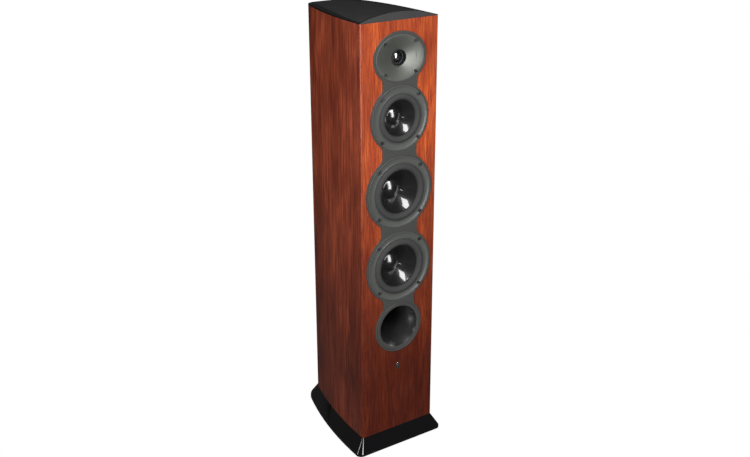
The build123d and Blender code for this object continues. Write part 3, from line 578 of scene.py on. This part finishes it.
def place_copy(name: str, bm: Mesh, finishes: Sequence[Finishes], slot: str, node: str) -> None:
    """Finish a copied CAD mesh on the root, its large flat faces ruling the shading of its rounded edges.

    Args:
        name: the piece's name.
        bm: the copy, which is freed.
        finishes: one for each material index.
        slot: the record's material slot.
        node: the CAD node that it stands for.
    """
    piece = finished(name, bm, finishes, turn_out=False)
    piece.modifiers.new("flat_faces", "WEIGHTED_NORMAL").keep_sharp = True
    place(piece, ROOT, slot, node)


def copy_of(node: str) -> Mesh:
    """Copy a CAD node's mesh, with its loose triangles joined and its flat faces made whole.

    Args:
        node: the CAD node.

    Returns:
        The copy.
    """
    bm = bmesh.new()
    bm.from_mesh(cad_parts[node].data)
    bmesh.ops.remove_doubles(bm, verts=bm.verts, dist=2e-6)
    bmesh.ops.dissolve_limit(bm, angle_limit=math.radians(0.05), verts=bm.verts, edges=bm.edges)
    return bm


def place(piece: Piece, body: str, slot: str, *nodes: str) -> Piece:
    """Give a piece its body and hide the CAD nodes that it stands for.

    Args:
        piece: the finished piece.
        body: the body that it rides on.
        slot: the record's material slot; not used.
        nodes: the nodes that it replaces.

    Returns:
        The piece.
    """
    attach(piece, body)
    if nodes:
        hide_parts(*nodes)
    LOG.info("%s: %d faces on %s", piece.name, len(piece.data.polygons), body)
    return piece


def verts_in(made: Sequence) -> list[bmesh.types.BMVert]:
    """The vertices among what an operator made."""
    return [item for item in made if isinstance(item, bmesh.types.BMVert)]


def arc(start: Point, through: Point, end: Point, steps: int) -> Profile:
    """Points of the circular arc through three points, without its first.

    Args:
        start: where it starts.
        through: a point that it passes.
        end: where it ends.
        steps: number of points.

    Returns:
        The points.
    """
    (ax, ay), (bx, by), (cx, cy) = start, through, end
    d = 2 * (ax * (by - cy) + bx * (cy - ay) + cx * (ay - by))
    a2, b2, c2 = ax * ax + ay * ay, bx * bx + by * by, cx * cx + cy * cy
    ux = (a2 * (by - cy) + b2 * (cy - ay) + c2 * (ay - by)) / d
    uy = (a2 * (cx - bx) + b2 * (ax - cx) + c2 * (bx - ax)) / d
    first = math.atan2(ay - uy, ax - ux)
    middle = (math.atan2(by - uy, bx - ux) - first) % math.tau
    last = (math.atan2(cy - uy, cx - ux) - first) % math.tau
    if middle > last:
        last -= math.tau
    radius = math.hypot(ax - ux, ay - uy)
    return [
        (ux + radius * math.cos(first + last * i / steps), uy + radius * math.sin(first + last * i / steps))
        for i in range(1, steps + 1)
    ]


@dataclass(frozen=True)
class Axle:
    """The axis of a round piece on the front, at a height and from the baffle's face."""

    height: float
    front: float

    def turn(self, bm: Mesh, profile: Profile, closed: bool = True) -> None:
        """Turn a profile about the axis.

        Args:
            bm: the mesh that takes it.
            profile: (radius, distance out of the front) in metres.
            closed: whether the last point joins the first.
        """
        verts = [bm.verts.new((radius, self.front - out, self.height)) for radius, out in profile]
        pairs = list(zip(verts, verts[1:]))
        if closed:
            pairs.append((verts[-1], verts[0]))
        edges = [bm.edges.new(pair) for pair in pairs]
        bmesh.ops.spin(bm, geom=verts + edges, cent=(0, self.front, self.height), axis=(0, 1, 0),
                       dvec=(0, 0, 0), angle=math.tau, steps=TURN_STEPS, use_merge=True, use_duplicate=False)

    def turned(self, name: str, finish: Finishes, profile: Profile, closed: bool = True) -> Piece:
        """A piece of one finish, turned from a profile.

        Args:
            name: the piece's name.
            finish: its finish.
            profile: (radius, distance out of the front) in metres.
            closed: whether the last point joins the first.

        Returns:
            The piece.
        """
        bm = bmesh.new()
        self.turn(bm, profile, closed)
        return finished(name, bm, [finish])


def cap_profile(radius: float, rise: float, crown: float, steps: int) -> Profile:
    """Points of a spherical cap, from its crown to its foot.

    Args:
        radius: the foot's radius.
        rise: the crown's height over the foot.
        crown: how far out the crown lies.
        steps: number of steps.

    Returns:
        The points.
    """
    ball = (radius**2 + rise**2) / (2 * rise)
    span = math.asin(radius / ball)
    return [(ball * math.sin(span * i / steps), crown - ball + ball * math.cos(span * i / steps))
            for i in range(steps + 1)]


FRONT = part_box("front_baffle")[0].y
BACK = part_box("back_panel")[1].y


def axle_of(node: str) -> Axle:
    """The axis through the middle of a round CAD node on the front."""
    low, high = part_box(node)
    return Axle((low.z + high.z) / 2, FRONT)


def radius_of(node: str) -> float:
    """Outer radius of a round CAD node."""
    low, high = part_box(node)
    return (high.x - low.x) / 2


def reach_of(node: str) -> tuple[float, float]:
    """How far a CAD node's front and back lie out of the baffle's face."""
    low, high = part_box(node)
    return FRONT - low.y, FRONT - high.y


# ---- cabinet
@dataclass
class Cabinet:
    """Veneered box: baffle, bowed sides, narrow back."""

    front_slope: float = 0.75  # a face leaning less than this to the front has the side's veneer

    def build(self) -> None:
        """Make the outside of the box and dress what is inside it."""
        for node in ("front_baffle", "side_panel_left", "side_panel_right", "back_panel"):
            self._panel(node)
        for node in ("top_panel", "bottom_panel", "chamber_shelf", "shelf_braces"):
            dress_node(node, Finishes.BOARD)
        dress_node("crossover_board", Finishes.CIRCUIT)

    def _panel(self, node: str) -> None:
        """One outer panel: the front's veneer on what faces forward, the side's elsewhere.

        Args:
            node: the CAD node that it stands for.
        """
        bm = copy_of(node)
        for face in bm.faces:
            face.material_index = 0 if face.normal.y < -self.front_slope else 1
        name = "cabinet_" + node.replace("_panel", "")
        place_copy(name, bm, [Finishes.FRONT, Finishes.SIDE], "veneer", node)


def dress_node(node: str, finish: Finishes) -> None:
    """Give a CAD node that keeps its own shape a finish.

    Args:
        node: the CAD node.
        finish: its finish.
    """
    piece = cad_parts[node]
    material = finish.material()
    if not piece.material_slots:
        piece.data.materials.append(material)
    for slot in piece.material_slots:
        slot.material = material


@dataclass
class TopCap:
    """Satin cap: arched front facet painted lighter as if lit from the front, sunk inlay on the crown, and a
    darker rim round it.
    """

    rim: float = 5.0 * MM
    step: float = 0.4 * MM
    taper: float = 0.24  # how much the inlay narrows towards the back

    def build(self) -> None:
        """Make the cap."""
        bm = copy_of("top_cap")
        crown = [f for f in bm.faces if f.normal.z > 0.8 and f.normal.y > -0.3]
        bmesh.ops.inset_region(bm, faces=crown, thickness=self.rim, depth=-self.step, use_even_offset=True,
                               use_boundary=True)
        for vert in {vert for face in crown for vert in face.verts}:
            vert.co.x *= 1 - self.taper * max(0.0, vert.co.y - FRONT) / (BACK - FRONT)
        inlay = set(crown)
        # faces turned to the front take the lighter colour: painted light on the facet
        for face in bm.faces:
            face.material_index = 1 if face.normal.y < -0.6 else (0 if face in inlay else 2)
        finishes = [Finishes.CAP, Finishes.PAINTED_LIT_FACET, Finishes.CAP_RIM]
        place_copy("top_cap_shell", bm, finishes, "cap", "top_cap")


@dataclass
class Fascia:
    """Satin plate with a lobe round each driver."""

    soft: float = 0.7 * MM
    corner: float = math.radians(60)

    def build(self) -> None:
        """Make the plate with a small round on its front edge."""
        bm = copy_of("front_fascia")
        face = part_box("front_fascia")[0].y
        edges = [e for e in bm.edges if len(e.link_faces) == 2 and e.calc_face_angle() > self.corner
                 and max(v.co.y for v in e.verts) < face + 0.1 * MM]
        bmesh.ops.bevel(bm, geom=edges, affect="EDGES", offset=self.soft, segments=3, profile=0.5,
                        material=-1)
        place_copy("front_fascia_plate", bm, [Finishes.FASCIA], "fascia", "front_fascia")


# ---- drivers
@dataclass
class ConeDriver:
    """One cone driver: flange and basket, roll surround, glossy cone and dust cap, corrugated spider."""

    name: str
    wall: float = 3.0 * MM
    skin: float = 0.8 * MM
    rim_w: float = 4.2 * MM
    dish: float = 1.9 * MM
    sink: float = 3.6 * MM  # how far the cone's rim lies behind the flange's face
    rim_in: float = 2.4 * MM  # how far the roll reaches over the cone's edge
    windows: int = 6
    window: tuple[float, float] = (0.2, 0.8)  # where a window starts and ends, of the span between two legs
    skirt: float = 12 * MM  # how deep the basket's upright wall is
    thick: float = 1.2 * MM  # of the cone
    belly: float = 1.9 * MM  # how far the cone bulges
    bond: float = 0.6 * MM  # how far the neck and the spider reach into the coil
    waves: int = 9
    wave_rise: float = 1.2 * MM
    lip: float = 2.5 * MM  # flat edge of the spider

    @property
    def body(self) -> str:
        """The body that moves with the cone."""
        return f"{self.name}_diaphragm"

    def node(self, piece: str) -> str:
        """The CAD node of one of the driver's pieces."""
        return f"{self.name}_{piece}"

    def build(self) -> None:
        """Make every piece of the driver."""
        self.axle = axle_of(self.node("frame"))
        self.flange_r = radius_of(self.node("frame"))
        self.face = reach_of(self.node("frame"))[0]
        self.seat = -reach_of(self.node("frame"))[1]
        self.lip_r = radius_of(self.node("surround"))
        self.cone_r = radius_of(self.node("cone"))
        self.cap_r = radius_of(self.node("dust_cap"))
        self._frame()
        self._surround()
        self._cone()
        self._dust_cap()
        self._spider()
        dress_node(self.node("voice_coil"), Finishes.COPPER)
        dress_node(self.node("magnet"), Finishes.FERRITE)
        dress_node(self.node("pole_plates"), Finishes.STEEL)

    def _frame(self) -> None:
        """Flange with a raised rim, a dished face and a step round the surround, on a windowed basket."""
        face, outer = self.face, self.flange_r
        basket_r = self.lip_r + 3.5 * MM
        seat_r = radius_of(self.node("pole_plates")) + 1 * MM
        hole_r = radius_of(self.node("voice_coil")) + 2 * MM
        floor = face - self.dish
        step = self.lip_r + 1.2 * MM
        soft = 0.6 * MM
        profile = [(outer, 0.0), (outer, face - soft)]
        profile += arc(profile[-1], (outer - 0.3 * soft, face - 0.3 * soft), (outer - soft, face), 4)
        profile += [(outer - 1.8 * MM, face)]
        profile += arc(profile[-1], (outer - 0.5 * self.rim_w - 1.4 * MM, face - 0.35 * self.dish),
                       (outer - self.rim_w - 2 * MM, floor + 0.3 * MM), 6)
        profile += [(step + 3 * MM, floor), (step + 1.2 * MM, floor)]
        profile += arc(profile[-1], (step + 0.9 * MM, face - 0.5 * MM), (step + 0.3 * MM, face), 4)
        profile += [(self.lip_r - 1 * MM, face), (self.lip_r - 2 * MM, face - 0.4 * MM),
                    (self.lip_r - 2 * MM, -self.wall), (basket_r, -self.wall), (basket_r, -self.skirt),
                    (basket_r + self.wall, -self.skirt), (basket_r + self.wall, 0.0)]
        bm = bmesh.new()
        self.axle.turn(bm, profile)
        self._basket(bm, basket_r + self.wall, seat_r, hole_r)
        piece = finished(self.node("flange_and_basket"), bm, [Finishes.FLANGE])
        place(piece, ROOT, "frame", self.node("frame"))

    def _basket(self, bm: Mesh, top_r: float, seat_r: float, hole_r: float) -> None:
        """Sloping wall with windows between its legs, down to the magnet's seat.

        Args:
            bm: the frame's mesh.
            top_r: radius of the skirt.
            seat_r: radius at the seat.
            hole_r: radius of the hole for the coil.
        """
        shell = bmesh.new()
        depths = (self.skirt, self.skirt + 3 * MM, self.seat - 6 * MM, self.seat)
        slope = (seat_r - top_r) / (depths[-1] - depths[0])
        profile = [(top_r + slope * (depth - depths[0]), -depth) for depth in depths]
        self.axle.turn(shell, profile + [(hole_r, -self.seat)], closed=False)
        bmesh.ops.remove_doubles(shell, verts=shell.verts, dist=MERGE)
        share = math.tau / self.windows
        holes = []
        for face in shell.faces:
            at = face.calc_center_median()
            turned = math.atan2(at.z - self.axle.height, at.x) % share
            deep = self.axle.front + depths[1] < at.y < self.axle.front + depths[2]
            if deep and self.window[0] * share < turned < self.window[1] * share:
                holes.append(face)
        bmesh.ops.delete(shell, geom=holes, context="FACES")
        bmesh.ops.recalc_face_normals(shell, faces=shell.faces)
        bmesh.ops.solidify(shell, geom=shell.faces, thickness=self.wall - 0.5 * MM)
        mesh = bpy.data.meshes.new("basket")
        shell.to_mesh(mesh)
        shell.free()
        bm.from_mesh(mesh)
        bpy.data.meshes.remove(mesh)

    def _surround(self) -> None:
        """Half-roll with a flat glued lip each side. It bends between the frame and the cone."""
        face, skin = self.face, self.skin
        high = reach_of(self.node("surround"))[0]
        inner, outer = self.cone_r - self.rim_in, self.lip_r - 1.6 * MM
        middle = (inner + outer) / 2
        top, rim = face + skin, face + skin - self.sink
        upper = [(inner - 1.5 * MM, rim), (inner, rim)]
        upper += arc(upper[-1], (middle, high), (outer, top), 22)
        upper += [(self.lip_r, top), (self.lip_r, face)]
        lower = [(outer - skin, face)]
        lower += arc(lower[-1], (middle, high - skin), (inner + skin, rim - skin), 22)
        lower += [(inner - 1.5 * MM, rim - skin)]
        piece = self.axle.turned(self.node("roll"), Finishes.RUBBER, upper + lower)
        self._flex(piece, self.lip_r - 1 * MM, inner)
        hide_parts(self.node("surround"))
        LOG.info("%s bends between the frame and the cone", piece.name)

    def _flex(self, piece: Piece, held_r: float, driven_r: float) -> None:
        """Bend a ring between the frame and the diaphragm, by its distance from the axis.

        Args:
            piece: the ring.
            held_r: radius that stays on the frame.
            driven_r: radius that moves with the diaphragm.
        """
        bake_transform(piece, ROOT, self.body, start=(held_r, FRONT, self.axle.height),
                 end=(driven_r, FRONT, self.axle.height))
        shares = piece.data.attributes["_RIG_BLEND"].data
        for vertex, share in zip(piece.data.vertices, shares):
            r = math.hypot(vertex.co.x, vertex.co.z - self.axle.height)
            t = min(1.0, max(0.0, (held_r - r) / (held_r - driven_r)))
            share.value = t * t * (3 - 2 * t)

    def _cone(self) -> None:
        """Curved cone with a flat glued rim, a small ledge for the cap and a neck on the former."""
        thick = self.thick
        cap_foot = reach_of(self.node("dust_cap"))[1]
        neck = reach_of(self.node("cone"))[1] + thick
        neck_r = radius_of(self.node("voice_coil")) - self.bond
        edge_r = self.cone_r - self.rim_in + 0.1 * MM
        rim = self.face + self.skin - self.sink + 0.05 * MM
        rim_r, crest = edge_r - 1.9 * MM, rim + 0.25 * MM
        seat = (self.cap_r + 1 * MM, cap_foot)
        belly = ((rim_r + seat[0]) / 2, (crest + seat[1]) / 2 + self.belly)
        top = [(rim_r, crest)] + arc((rim_r, crest), belly, seat, 28)
        top += [(self.cap_r - 1 * MM, seat[1]), (neck_r, neck)]
        below = [(neck_r, neck - thick), (self.cap_r - 1 * MM, seat[1] - thick), (seat[0], seat[1] - thick)]
        below += arc(below[-1], (belly[0], belly[1] - thick), (rim_r, crest - thick), 28)
        lip = [(edge_r - 1.7 * MM, rim - thick), (edge_r - 1.7 * MM, rim), (edge_r, rim), (edge_r, crest)]
        piece = self.axle.turned(self.node("cone_body"), Finishes.CONE, top + below + lip)
        place(piece, self.body, "cone", self.node("cone"))

    def _dust_cap(self) -> None:
        """Domed cap of even thickness."""
        crown, foot = reach_of(self.node("dust_cap"))
        dome = cap_profile(self.cap_r, crown - foot, crown, 24)
        ball = (self.cap_r**2 + (crown - foot) ** 2) / (2 * (crown - foot))
        centre, thin = crown - ball, 1 - 0.7 * MM / ball
        under = [(thin * radius, centre + thin * (out - centre)) for radius, out in reversed(dome)]
        piece = self.axle.turned(self.node("cap_dome"), Finishes.DOME_CAP, dome + under, closed=False)
        place(piece, self.body, "dust_cap", self.node("dust_cap"))

    def _spider(self) -> None:
        """Corrugated cloth disc that bends between the frame's ledge and the former."""
        outer = radius_of(self.node("spider"))
        inner = radius_of(self.node("voice_coil")) - self.bond
        base = reach_of(self.node("spider"))[1]
        skin, steps = 0.5 * MM, self.waves * 6
        upper = []
        for i in range(steps + 1):
            share = i / steps
            wave = 0.5 - 0.5 * math.cos(math.pi * self.waves * share)
            rise = self.wave_rise * wave * (share < 0.97)
            upper.append((inner + (outer - self.lip - inner) * share, base + skin + rise))
        upper.append((outer, base + skin))
        lower = [(r, out - skin) for r, out in reversed(upper)]
        piece = self.axle.turned(self.node("corrugated_disc"), Finishes.SPIDER, upper + lower)
        self._flex(piece, outer - self.lip, inner)
        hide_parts(self.node("spider"))


@dataclass
class Tweeter:
    """Dome tweeter in an oval waveguide, behind a spoked phase disc."""

    ring_t: float = 1.4 * MM
    spokes: int = 3
    throat_steps: int = 20
    flare: float = 1.25  # power of the flare's curve
    boss: Point = (44 * MM, 15 * MM)  # radius and depth of the round back
    dome_rise: float = 4.6 * MM
    dome_skin: float = 0.35 * MM
    disc: float = 4.2 * MM

    def build(self) -> None:
        """Make the waveguide, the dome, its roll and the phase disc."""
        self.axle = axle_of("tweeter_faceplate")
        low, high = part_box("tweeter_faceplate")
        self.half = ((high.x - low.x) / 2, (high.z - low.z) / 2)
        self.face = reach_of("tweeter_faceplate")[0]
        self.throat_r = radius_of("tweeter_lens")
        self.throat = reach_of("tweeter_lens")[1] + 1 * MM
        self._waveguide()
        self._dome()
        self._phase_disc()
        dress_node("tweeter_voice_coil", Finishes.COPPER)
        dress_node("tweeter_motor", Finishes.STEEL)

    def _sweep(self, bm: Mesh, sections: list[tuple[float, float, float]]) -> None:
        """A closed skin through oval loops, the last of which meets the first.

        Args:
            bm: the mesh that takes it.
            sections: (half width, half height, distance out of the baffle's face) of each loop.
        """
        (a, b, out), rest = sections[0], sections[1:]
        middle = Matrix.Translation((0, FRONT - out, self.axle.height))
        upright = middle @ Matrix.Rotation(math.pi / 2, 4, "X") @ Matrix.Diagonal((a, b, 1, 1))
        verts = bmesh.ops.create_circle(bm, cap_ends=False, segments=TURN_STEPS, radius=1.0)["verts"]
        bmesh.ops.transform(bm, matrix=upright, verts=verts)
        edges = list({edge for vert in verts for edge in vert.link_edges})
        centre = Matrix.Translation((0, 0, -self.axle.height))
        for wide, tall, reach in rest + sections[:1]:
            made = bmesh.ops.extrude_edge_only(bm, edges=edges)["geom"]
            verts = verts_in(made)
            edges = [item for item in made if isinstance(item, bmesh.types.BMEdge)]
            bmesh.ops.scale(bm, vec=(wide / a, 1, tall / b), space=centre, verts=verts)
            bmesh.ops.translate(bm, vec=(0, out - reach, 0), verts=verts)
            a, b, out = wide, tall, reach

    def _waveguide(self) -> None:
        """Oval plate that flares smoothly from the round throat to its rim."""
        a, b = self.half
        mouth_a, mouth_b, r = a - 1.3 * MM, b - 3.0 * MM, self.throat_r
        soft = 0.7 * MM
        sections = [(a, b, 0.0), (a, b, self.face - soft),
                    (a - 0.3 * soft, b - 0.3 * soft, self.face - 0.3 * soft),
                    (a - soft, b - soft, self.face), (mouth_a, mouth_b, self.face)]
        for i in range(1, self.throat_steps + 1):
            share = i / self.throat_steps
            curve = self.face + (self.throat - self.face) * share**self.flare
            sections.append((mouth_a + (r - mouth_a) * share, mouth_b + (r - mouth_b) * share, curve))
        back, deep = self.boss
        sections += [(r, r, -deep), (back, back, -deep), (back, back, 0.0)]
        bm = bmesh.new()
        self._sweep(bm, sections)
        for face in bm.faces:
            spot = face.calc_center_median()
            x, z = spot.x / mouth_a, (spot.z - self.axle.height) / mouth_b
            face.material_index = 0 if math.hypot(x, z) < 1.0 else 1
        piece = finished("tweeter_waveguide", bm, [Finishes.WAVEGUIDE, Finishes.FLANGE])
        place(piece, ROOT, "waveguide", "tweeter_faceplate")

    def _dome(self) -> None:
        """Metal dome and the soft roll that carries it."""
        crown, _ = reach_of("tweeter_dome")
        dome = cap_profile(radius_of("tweeter_dome"), self.dome_rise, crown, 20)
        under = [(radius * 0.985, out - self.dome_skin) for radius, out in reversed(dome)]
        piece = self.axle.turned("tweeter_dome_shell", Finishes.DOME, dome + under, closed=False)
        place(piece, "tweeter_diaphragm", "dome", "tweeter_dome")
        dress_node("tweeter_surround", Finishes.RUBBER)

    def _phase_disc(self) -> None:
        """Ring in the throat, spokes, and a small disc in front of the dome."""
        front, back = reach_of("tweeter_lens")
        r, t = self.throat_r, self.ring_t
        bm = bmesh.new()
        edge, disc, soft = 0.4 * MM, self.disc, 0.5 * MM
        snug = r - 0.05 * MM
        ring = [(snug, back), (snug, front - edge), (r - edge, front), (r - t + edge, front),
                (r - t, front - edge), (r - t, back)]
        self.axle.turn(bm, ring)
        plate = [(0.0, front - t), (disc - soft, front - t), (disc, front - t + soft), (disc, front - soft),
                 (disc - soft, front), (0.0, front)]
        self.axle.turn(bm, plate, closed=False)
        for number in range(self.spokes):
            turned = math.pi / 2 + number * math.tau / self.spokes
            made = bmesh.ops.create_grid(bm, x_segments=1, y_segments=1, size=0.5)["verts"]
            long = r - t - disc + 1 * MM
            shape = Matrix.Diagonal((long, t, 1, 1))
            out = Matrix.Translation((disc + (long - 1 * MM) / 2, 0, 0))
            face = Matrix.Rotation(math.pi / 2, 4, "X") @ Matrix.Rotation(turned, 4, "Z") @ out @ shape
            at = Matrix.Translation((0, FRONT - front + edge / 2, self.axle.height))
            bmesh.ops.transform(bm, matrix=at @ face, verts=made)
            faces = list({f for v in made for f in v.link_faces})
            deep = bmesh.ops.extrude_face_region(bm, geom=faces)["geom"]
            verts = verts_in(deep)
            bmesh.ops.translate(bm, vec=(0, t - edge, 0), verts=verts)
        place(finished("tweeter_phase_ring", bm, [Finishes.BLACK_PART]), ROOT, "lens", "tweeter_lens")


@dataclass
class Port:
    """Flared port tube in gloss black, with a flat satin land round its mouth."""

    wall: float = 2.5 * MM
    mouth_r: float = 52.5 * MM
    bore_r: float = 34.0 * MM
    tail_r: float = 44.0 * MM
    flare_depth: float = 42.0 * MM
    tail_depth: float = 25.0 * MM
    soft: float = 0.6 * MM
    curve: Point = (0.24, 0.62)  # middle of the flare, as shares of its width and depth
    bell: Point = (0.26, 9 * MM)  # middle of the tail: share of its width, and depth

    def _flare(self, far_r: float, near: float, far: float, steps: int) -> Profile:
        """Points of the front flare's curve, from its mouth to the bore.

        Args:
            far_r: radius at the bore's end.
            near: how far out the mouth is.
            far: how far out the bore's end is.
            steps: number of points.

        Returns:
            The points after the mouth.
        """
        widen, (across, along) = self.mouth_r - self.bore_r, self.curve
        middle = (far_r + across * widen, near + along * (far - near))
        return arc((far_r + widen, near), middle, (far_r, far), steps)

    def build(self) -> None:
        """Make the tube."""
        axle = axle_of("port_tube")
        front, tail = reach_of("port_tube")
        flange, wall, flare = radius_of("port_tube"), self.wall, -self.flare_depth
        bell = (self.bore_r + self.bell[0] * (self.tail_r - self.bore_r), tail + self.bell[1])
        brim = front - 0.3 * self.soft
        inner = [(flange - self.soft, front), (self.mouth_r + self.soft, front), (self.mouth_r, brim)]
        inner += self._flare(self.bore_r, brim, flare, 26)
        inner += [(self.bore_r, tail + self.tail_depth)]
        inner += arc(inner[-1], bell, (self.tail_r, tail), 14)
        outer = [(self.tail_r + wall, tail)]
        outer += arc(outer[-1], (bell[0] + wall, bell[1]), (self.bore_r + wall, tail + self.tail_depth), 14)
        outer += self._flare(self.bore_r + wall, -1 * MM, flare, 20)[::-1]
        outer += [(self.mouth_r + wall, -1 * MM), (self.mouth_r + wall, 0.0), (flange, 0.0),
                  (flange, front - self.soft)]
        bm = bmesh.new()
        axle.turn(bm, inner + outer)
        for face in bm.faces:
            spot = face.calc_center_median()
            land = math.hypot(spot.x, spot.z - axle.height) > self.mouth_r - 0.2 * MM and spot.y < axle.front
            face.material_index = 1 if land else 0
        place(finished("port_flare", bm, [Finishes.PORT, Finishes.FASCIA]), ROOT, "port", "port_tube")


@dataclass
class Plinth:
    """Gloss black plinth that flares from the cabinet to a rounded foot."""

    feet: int = 4

    def build(self) -> None:
        """Make the plinth, and dress the bolts and feet under it."""
        place_copy("plinth_body", copy_of("plinth"), [Finishes.PLINTH], "plinth", "plinth")
        dress_node("plinth_bolts", Finishes.BLACK_SCREW)
        for number in range(1, self.feet + 1):
            dress_node(f"foot_pad_{number}", Finishes.STEEL)
            dress_node(f"foot_stem_{number}", Finishes.STEEL)


@dataclass
class Trim:
    """Badge, driver screws and terminals."""

    dome_rise: tuple[float, ...] = (0.4, 0.2, 0.17, 0.12, 0.08, 0.03)
    dome_inset: tuple[float, ...] = (0.0, 0.06, 0.12, 0.2, 0.3, 0.5)

    def build(self) -> None:
        """Dress the small pieces."""
        self._badge()
        dress_node("driver_screws", Finishes.BLACK_SCREW)
        dress_node("terminal_plate", Finishes.BLACK_PART)
        dress_node("post_studs", Finishes.GOLD)
        for colour, finish in (("red", Finishes.RED_PART), ("black", Finishes.BLACK_PART)):
            dress_node(f"post_cap_{colour}", finish)
            dress_node(f"post_washer_{colour}", Finishes.GOLD)

    def _badge(self) -> None:
        """Plain domed oval of polished metal."""
        low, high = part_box("badge")
        half = (high - low) / 2
        at = Matrix.Translation((0, high.y, (low.z + high.z) / 2)) @ Matrix.Rotation(math.pi / 2, 4, "X")
        bm = bmesh.new()
        made = bmesh.ops.create_circle(bm, cap_ends=True, segments=48, radius=1.0)["verts"]
        bmesh.ops.transform(bm, matrix=at @ Matrix.Diagonal((half.x, half.z, 1, 1)), verts=made)
        faces = bm.faces[:]
        for share, width in zip(self.dome_rise, self.dome_inset):
            raised = bmesh.ops.extrude_face_region(bm, geom=faces)["geom"]
            verts = verts_in(raised)
            faces = [item for item in raised if isinstance(item, bmesh.types.BMFace)]
            bmesh.ops.translate(bm, vec=(0, share * (low.y - high.y), 0), verts=verts)
            middle = Matrix.Translation((0, 0, -(low.z + high.z) / 2))
            bmesh.ops.scale(bm, vec=(1 - width, 1, 1 - width), space=middle, verts=verts)
        place(finished("badge_oval", bm, [Finishes.BRIGHT]), ROOT, "badge", "badge")


# ---- stage
@dataclass(frozen=True)
class SoftBox:
    """A rectangular studio light."""

    name: str
    at: tuple[float, float, float]
    aim: tuple[float, float, float]
    size: tuple[float, float]
    power: float
    mirrored: bool = True  # whether glossy surfaces show it

    def build(self) -> None:
        """Hang the light."""
        data = bpy.data.lights.new(self.name, "AREA")
        data.shape = "RECTANGLE"
        data.size, data.size_y = self.size
        data.energy = self.power
        lamp = bpy.data.objects.new(self.name, data)
        lamp.visible_glossy = self.mirrored
        lamp.location = self.at
        lamp.rotation_euler = (Vector(self.aim) - Vector(self.at)).to_track_quat("-Z", "Y").to_euler()
        bpy.context.scene.collection.objects.link(lamp)


@dataclass
class Studio:
    """Pale floor, soft light and the camera."""

    place: tuple[float, float, float] = (-1.2574, -1.9226, 1.4295)
    yaw: float = math.radians(34.009)
    pitch: float = math.radians(-21.607)
    roll: float = math.radians(-0.136)
    lens: float = 48.92
    floor_half: float = 12.0

    def build(self) -> None:
        """Set the stage."""
        self._camera()
        self._floor()
        self._world()
        for lamp in (
            SoftBox("key", (-0.35, -1.95, 2.5), (0.0, -0.15, 0.8), (1.35, 0.75), 46.0),
            SoftBox("front_strip", (0.0, -2.7, 1.15), (0.0, -0.15, 0.95), (0.95, 2.3), 42.0),
            SoftBox("left_fill", (-2.9, -1.7, 1.5), (0.0, 0.0, 0.7), (1.2, 1.4), 125.0, mirrored=False),
            SoftBox("left_glint", (-2.8, -1.6, 1.1), (0.0, 0.0, 0.7), (0.3, 0.3), 2.4),
            SoftBox("foot_strip", (-2.3, 0.75, 0.75), (-0.12, -0.15, 0.3), (0.3, 1.5), 9.0),
            SoftBox("top", (0.3, 0.9, 2.6), (0.0, 0.0, 1.0), (1.2, 0.8), 5.0),
        ):
            lamp.build()
        bpy.context.scene.view_settings.view_transform = "Standard"

    def _camera(self) -> None:
        """Stand the camera to the left of the speaker, above its top, looking down."""
        data = bpy.data.cameras.new("view")
        data.sensor_width = 36.0
        data.lens = self.lens
        data.clip_end = 100.0
        camera = bpy.data.objects.new("view", data)
        turn = (Matrix.Rotation(-self.yaw, 4, "Z") @ Matrix.Rotation(math.pi / 2 + self.pitch, 4, "X")
                @ Matrix.Rotation(self.roll, 4, "Z"))
        camera.matrix_world = Matrix.Translation(self.place) @ turn
        bpy.context.scene.collection.objects.link(camera)
        bpy.context.scene.camera = camera

    def _floor(self) -> None:
        """A wide pale floor that stays bright to the eye."""
        bm = bmesh.new()
        bmesh.ops.create_grid(bm, x_segments=1, y_segments=1, size=self.floor_half)
        mesh = bpy.data.meshes.new("floor")
        bm.to_mesh(mesh)
        bm.free()
        floor = bpy.data.objects.new("floor", mesh)
        bpy.context.scene.collection.objects.link(floor)
        material = bpy.data.materials.new("pale_floor")
        material.use_nodes = True
        graph = Graph(material.node_tree)
        nodes = material.node_tree.nodes
        nodes.clear()
        matt = graph.node("BsdfDiffuse", None, Color=(0.04, 0.04, 0.04))
        glow = graph.node("Emission", None, Color=(1.0, 1.0, 1.0), Strength=1.0)
        seen = graph.node("LightPath").outputs["Is Camera Ray"]
        both = graph.node("MixShader", None)
        graph.put(both.inputs[0], seen)
        graph.put(both.inputs[1], matt.outputs[0])
        graph.put(both.inputs[2], glow.outputs[0])
        graph.put(graph.node("OutputMaterial").inputs["Surface"], both.outputs[0])
        mesh.materials.append(material)
        floor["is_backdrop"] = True

    def _world(self) -> None:
        """White behind the speaker, and a dim even fill from all round it."""
        world = bpy.data.worlds.new("studio")
        bpy.context.scene.world = world
        world.use_nodes = True
        graph = Graph(world.node_tree)
        ground = world.node_tree.nodes["Background"]
        seen = graph.node("LightPath").outputs["Is Camera Ray"]
        graph.put(ground.inputs["Color"], (1.0, 1.0, 1.0))
        graph.put(ground.inputs["Strength"], graph.spread(seen, 0.0, 1.0, 0.03, 1.0))


def main() -> None:
    """Build the speaker round its frame and set the stage."""
    logging.basicConfig(level=logging.INFO, format="%(name)s: %(message)s")
    Effects.build()
    drivers = [ConeDriver(name) for name in ("midrange", "woofer_1", "woofer_2")]
    for part in (Cabinet(), TopCap(), Fascia(), *drivers, Tweeter(), Port(), Plinth(), Trim(), Studio()):
        LOG.info("building %s", type(part).__name__)
        part.build()
    boxes = {"cad": CAD_BOX, "visual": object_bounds()}
    {key: [list(map(float, corner)) for corner in box] for key, box in boxes.items()}


if __name__ == "__main__":
    main()
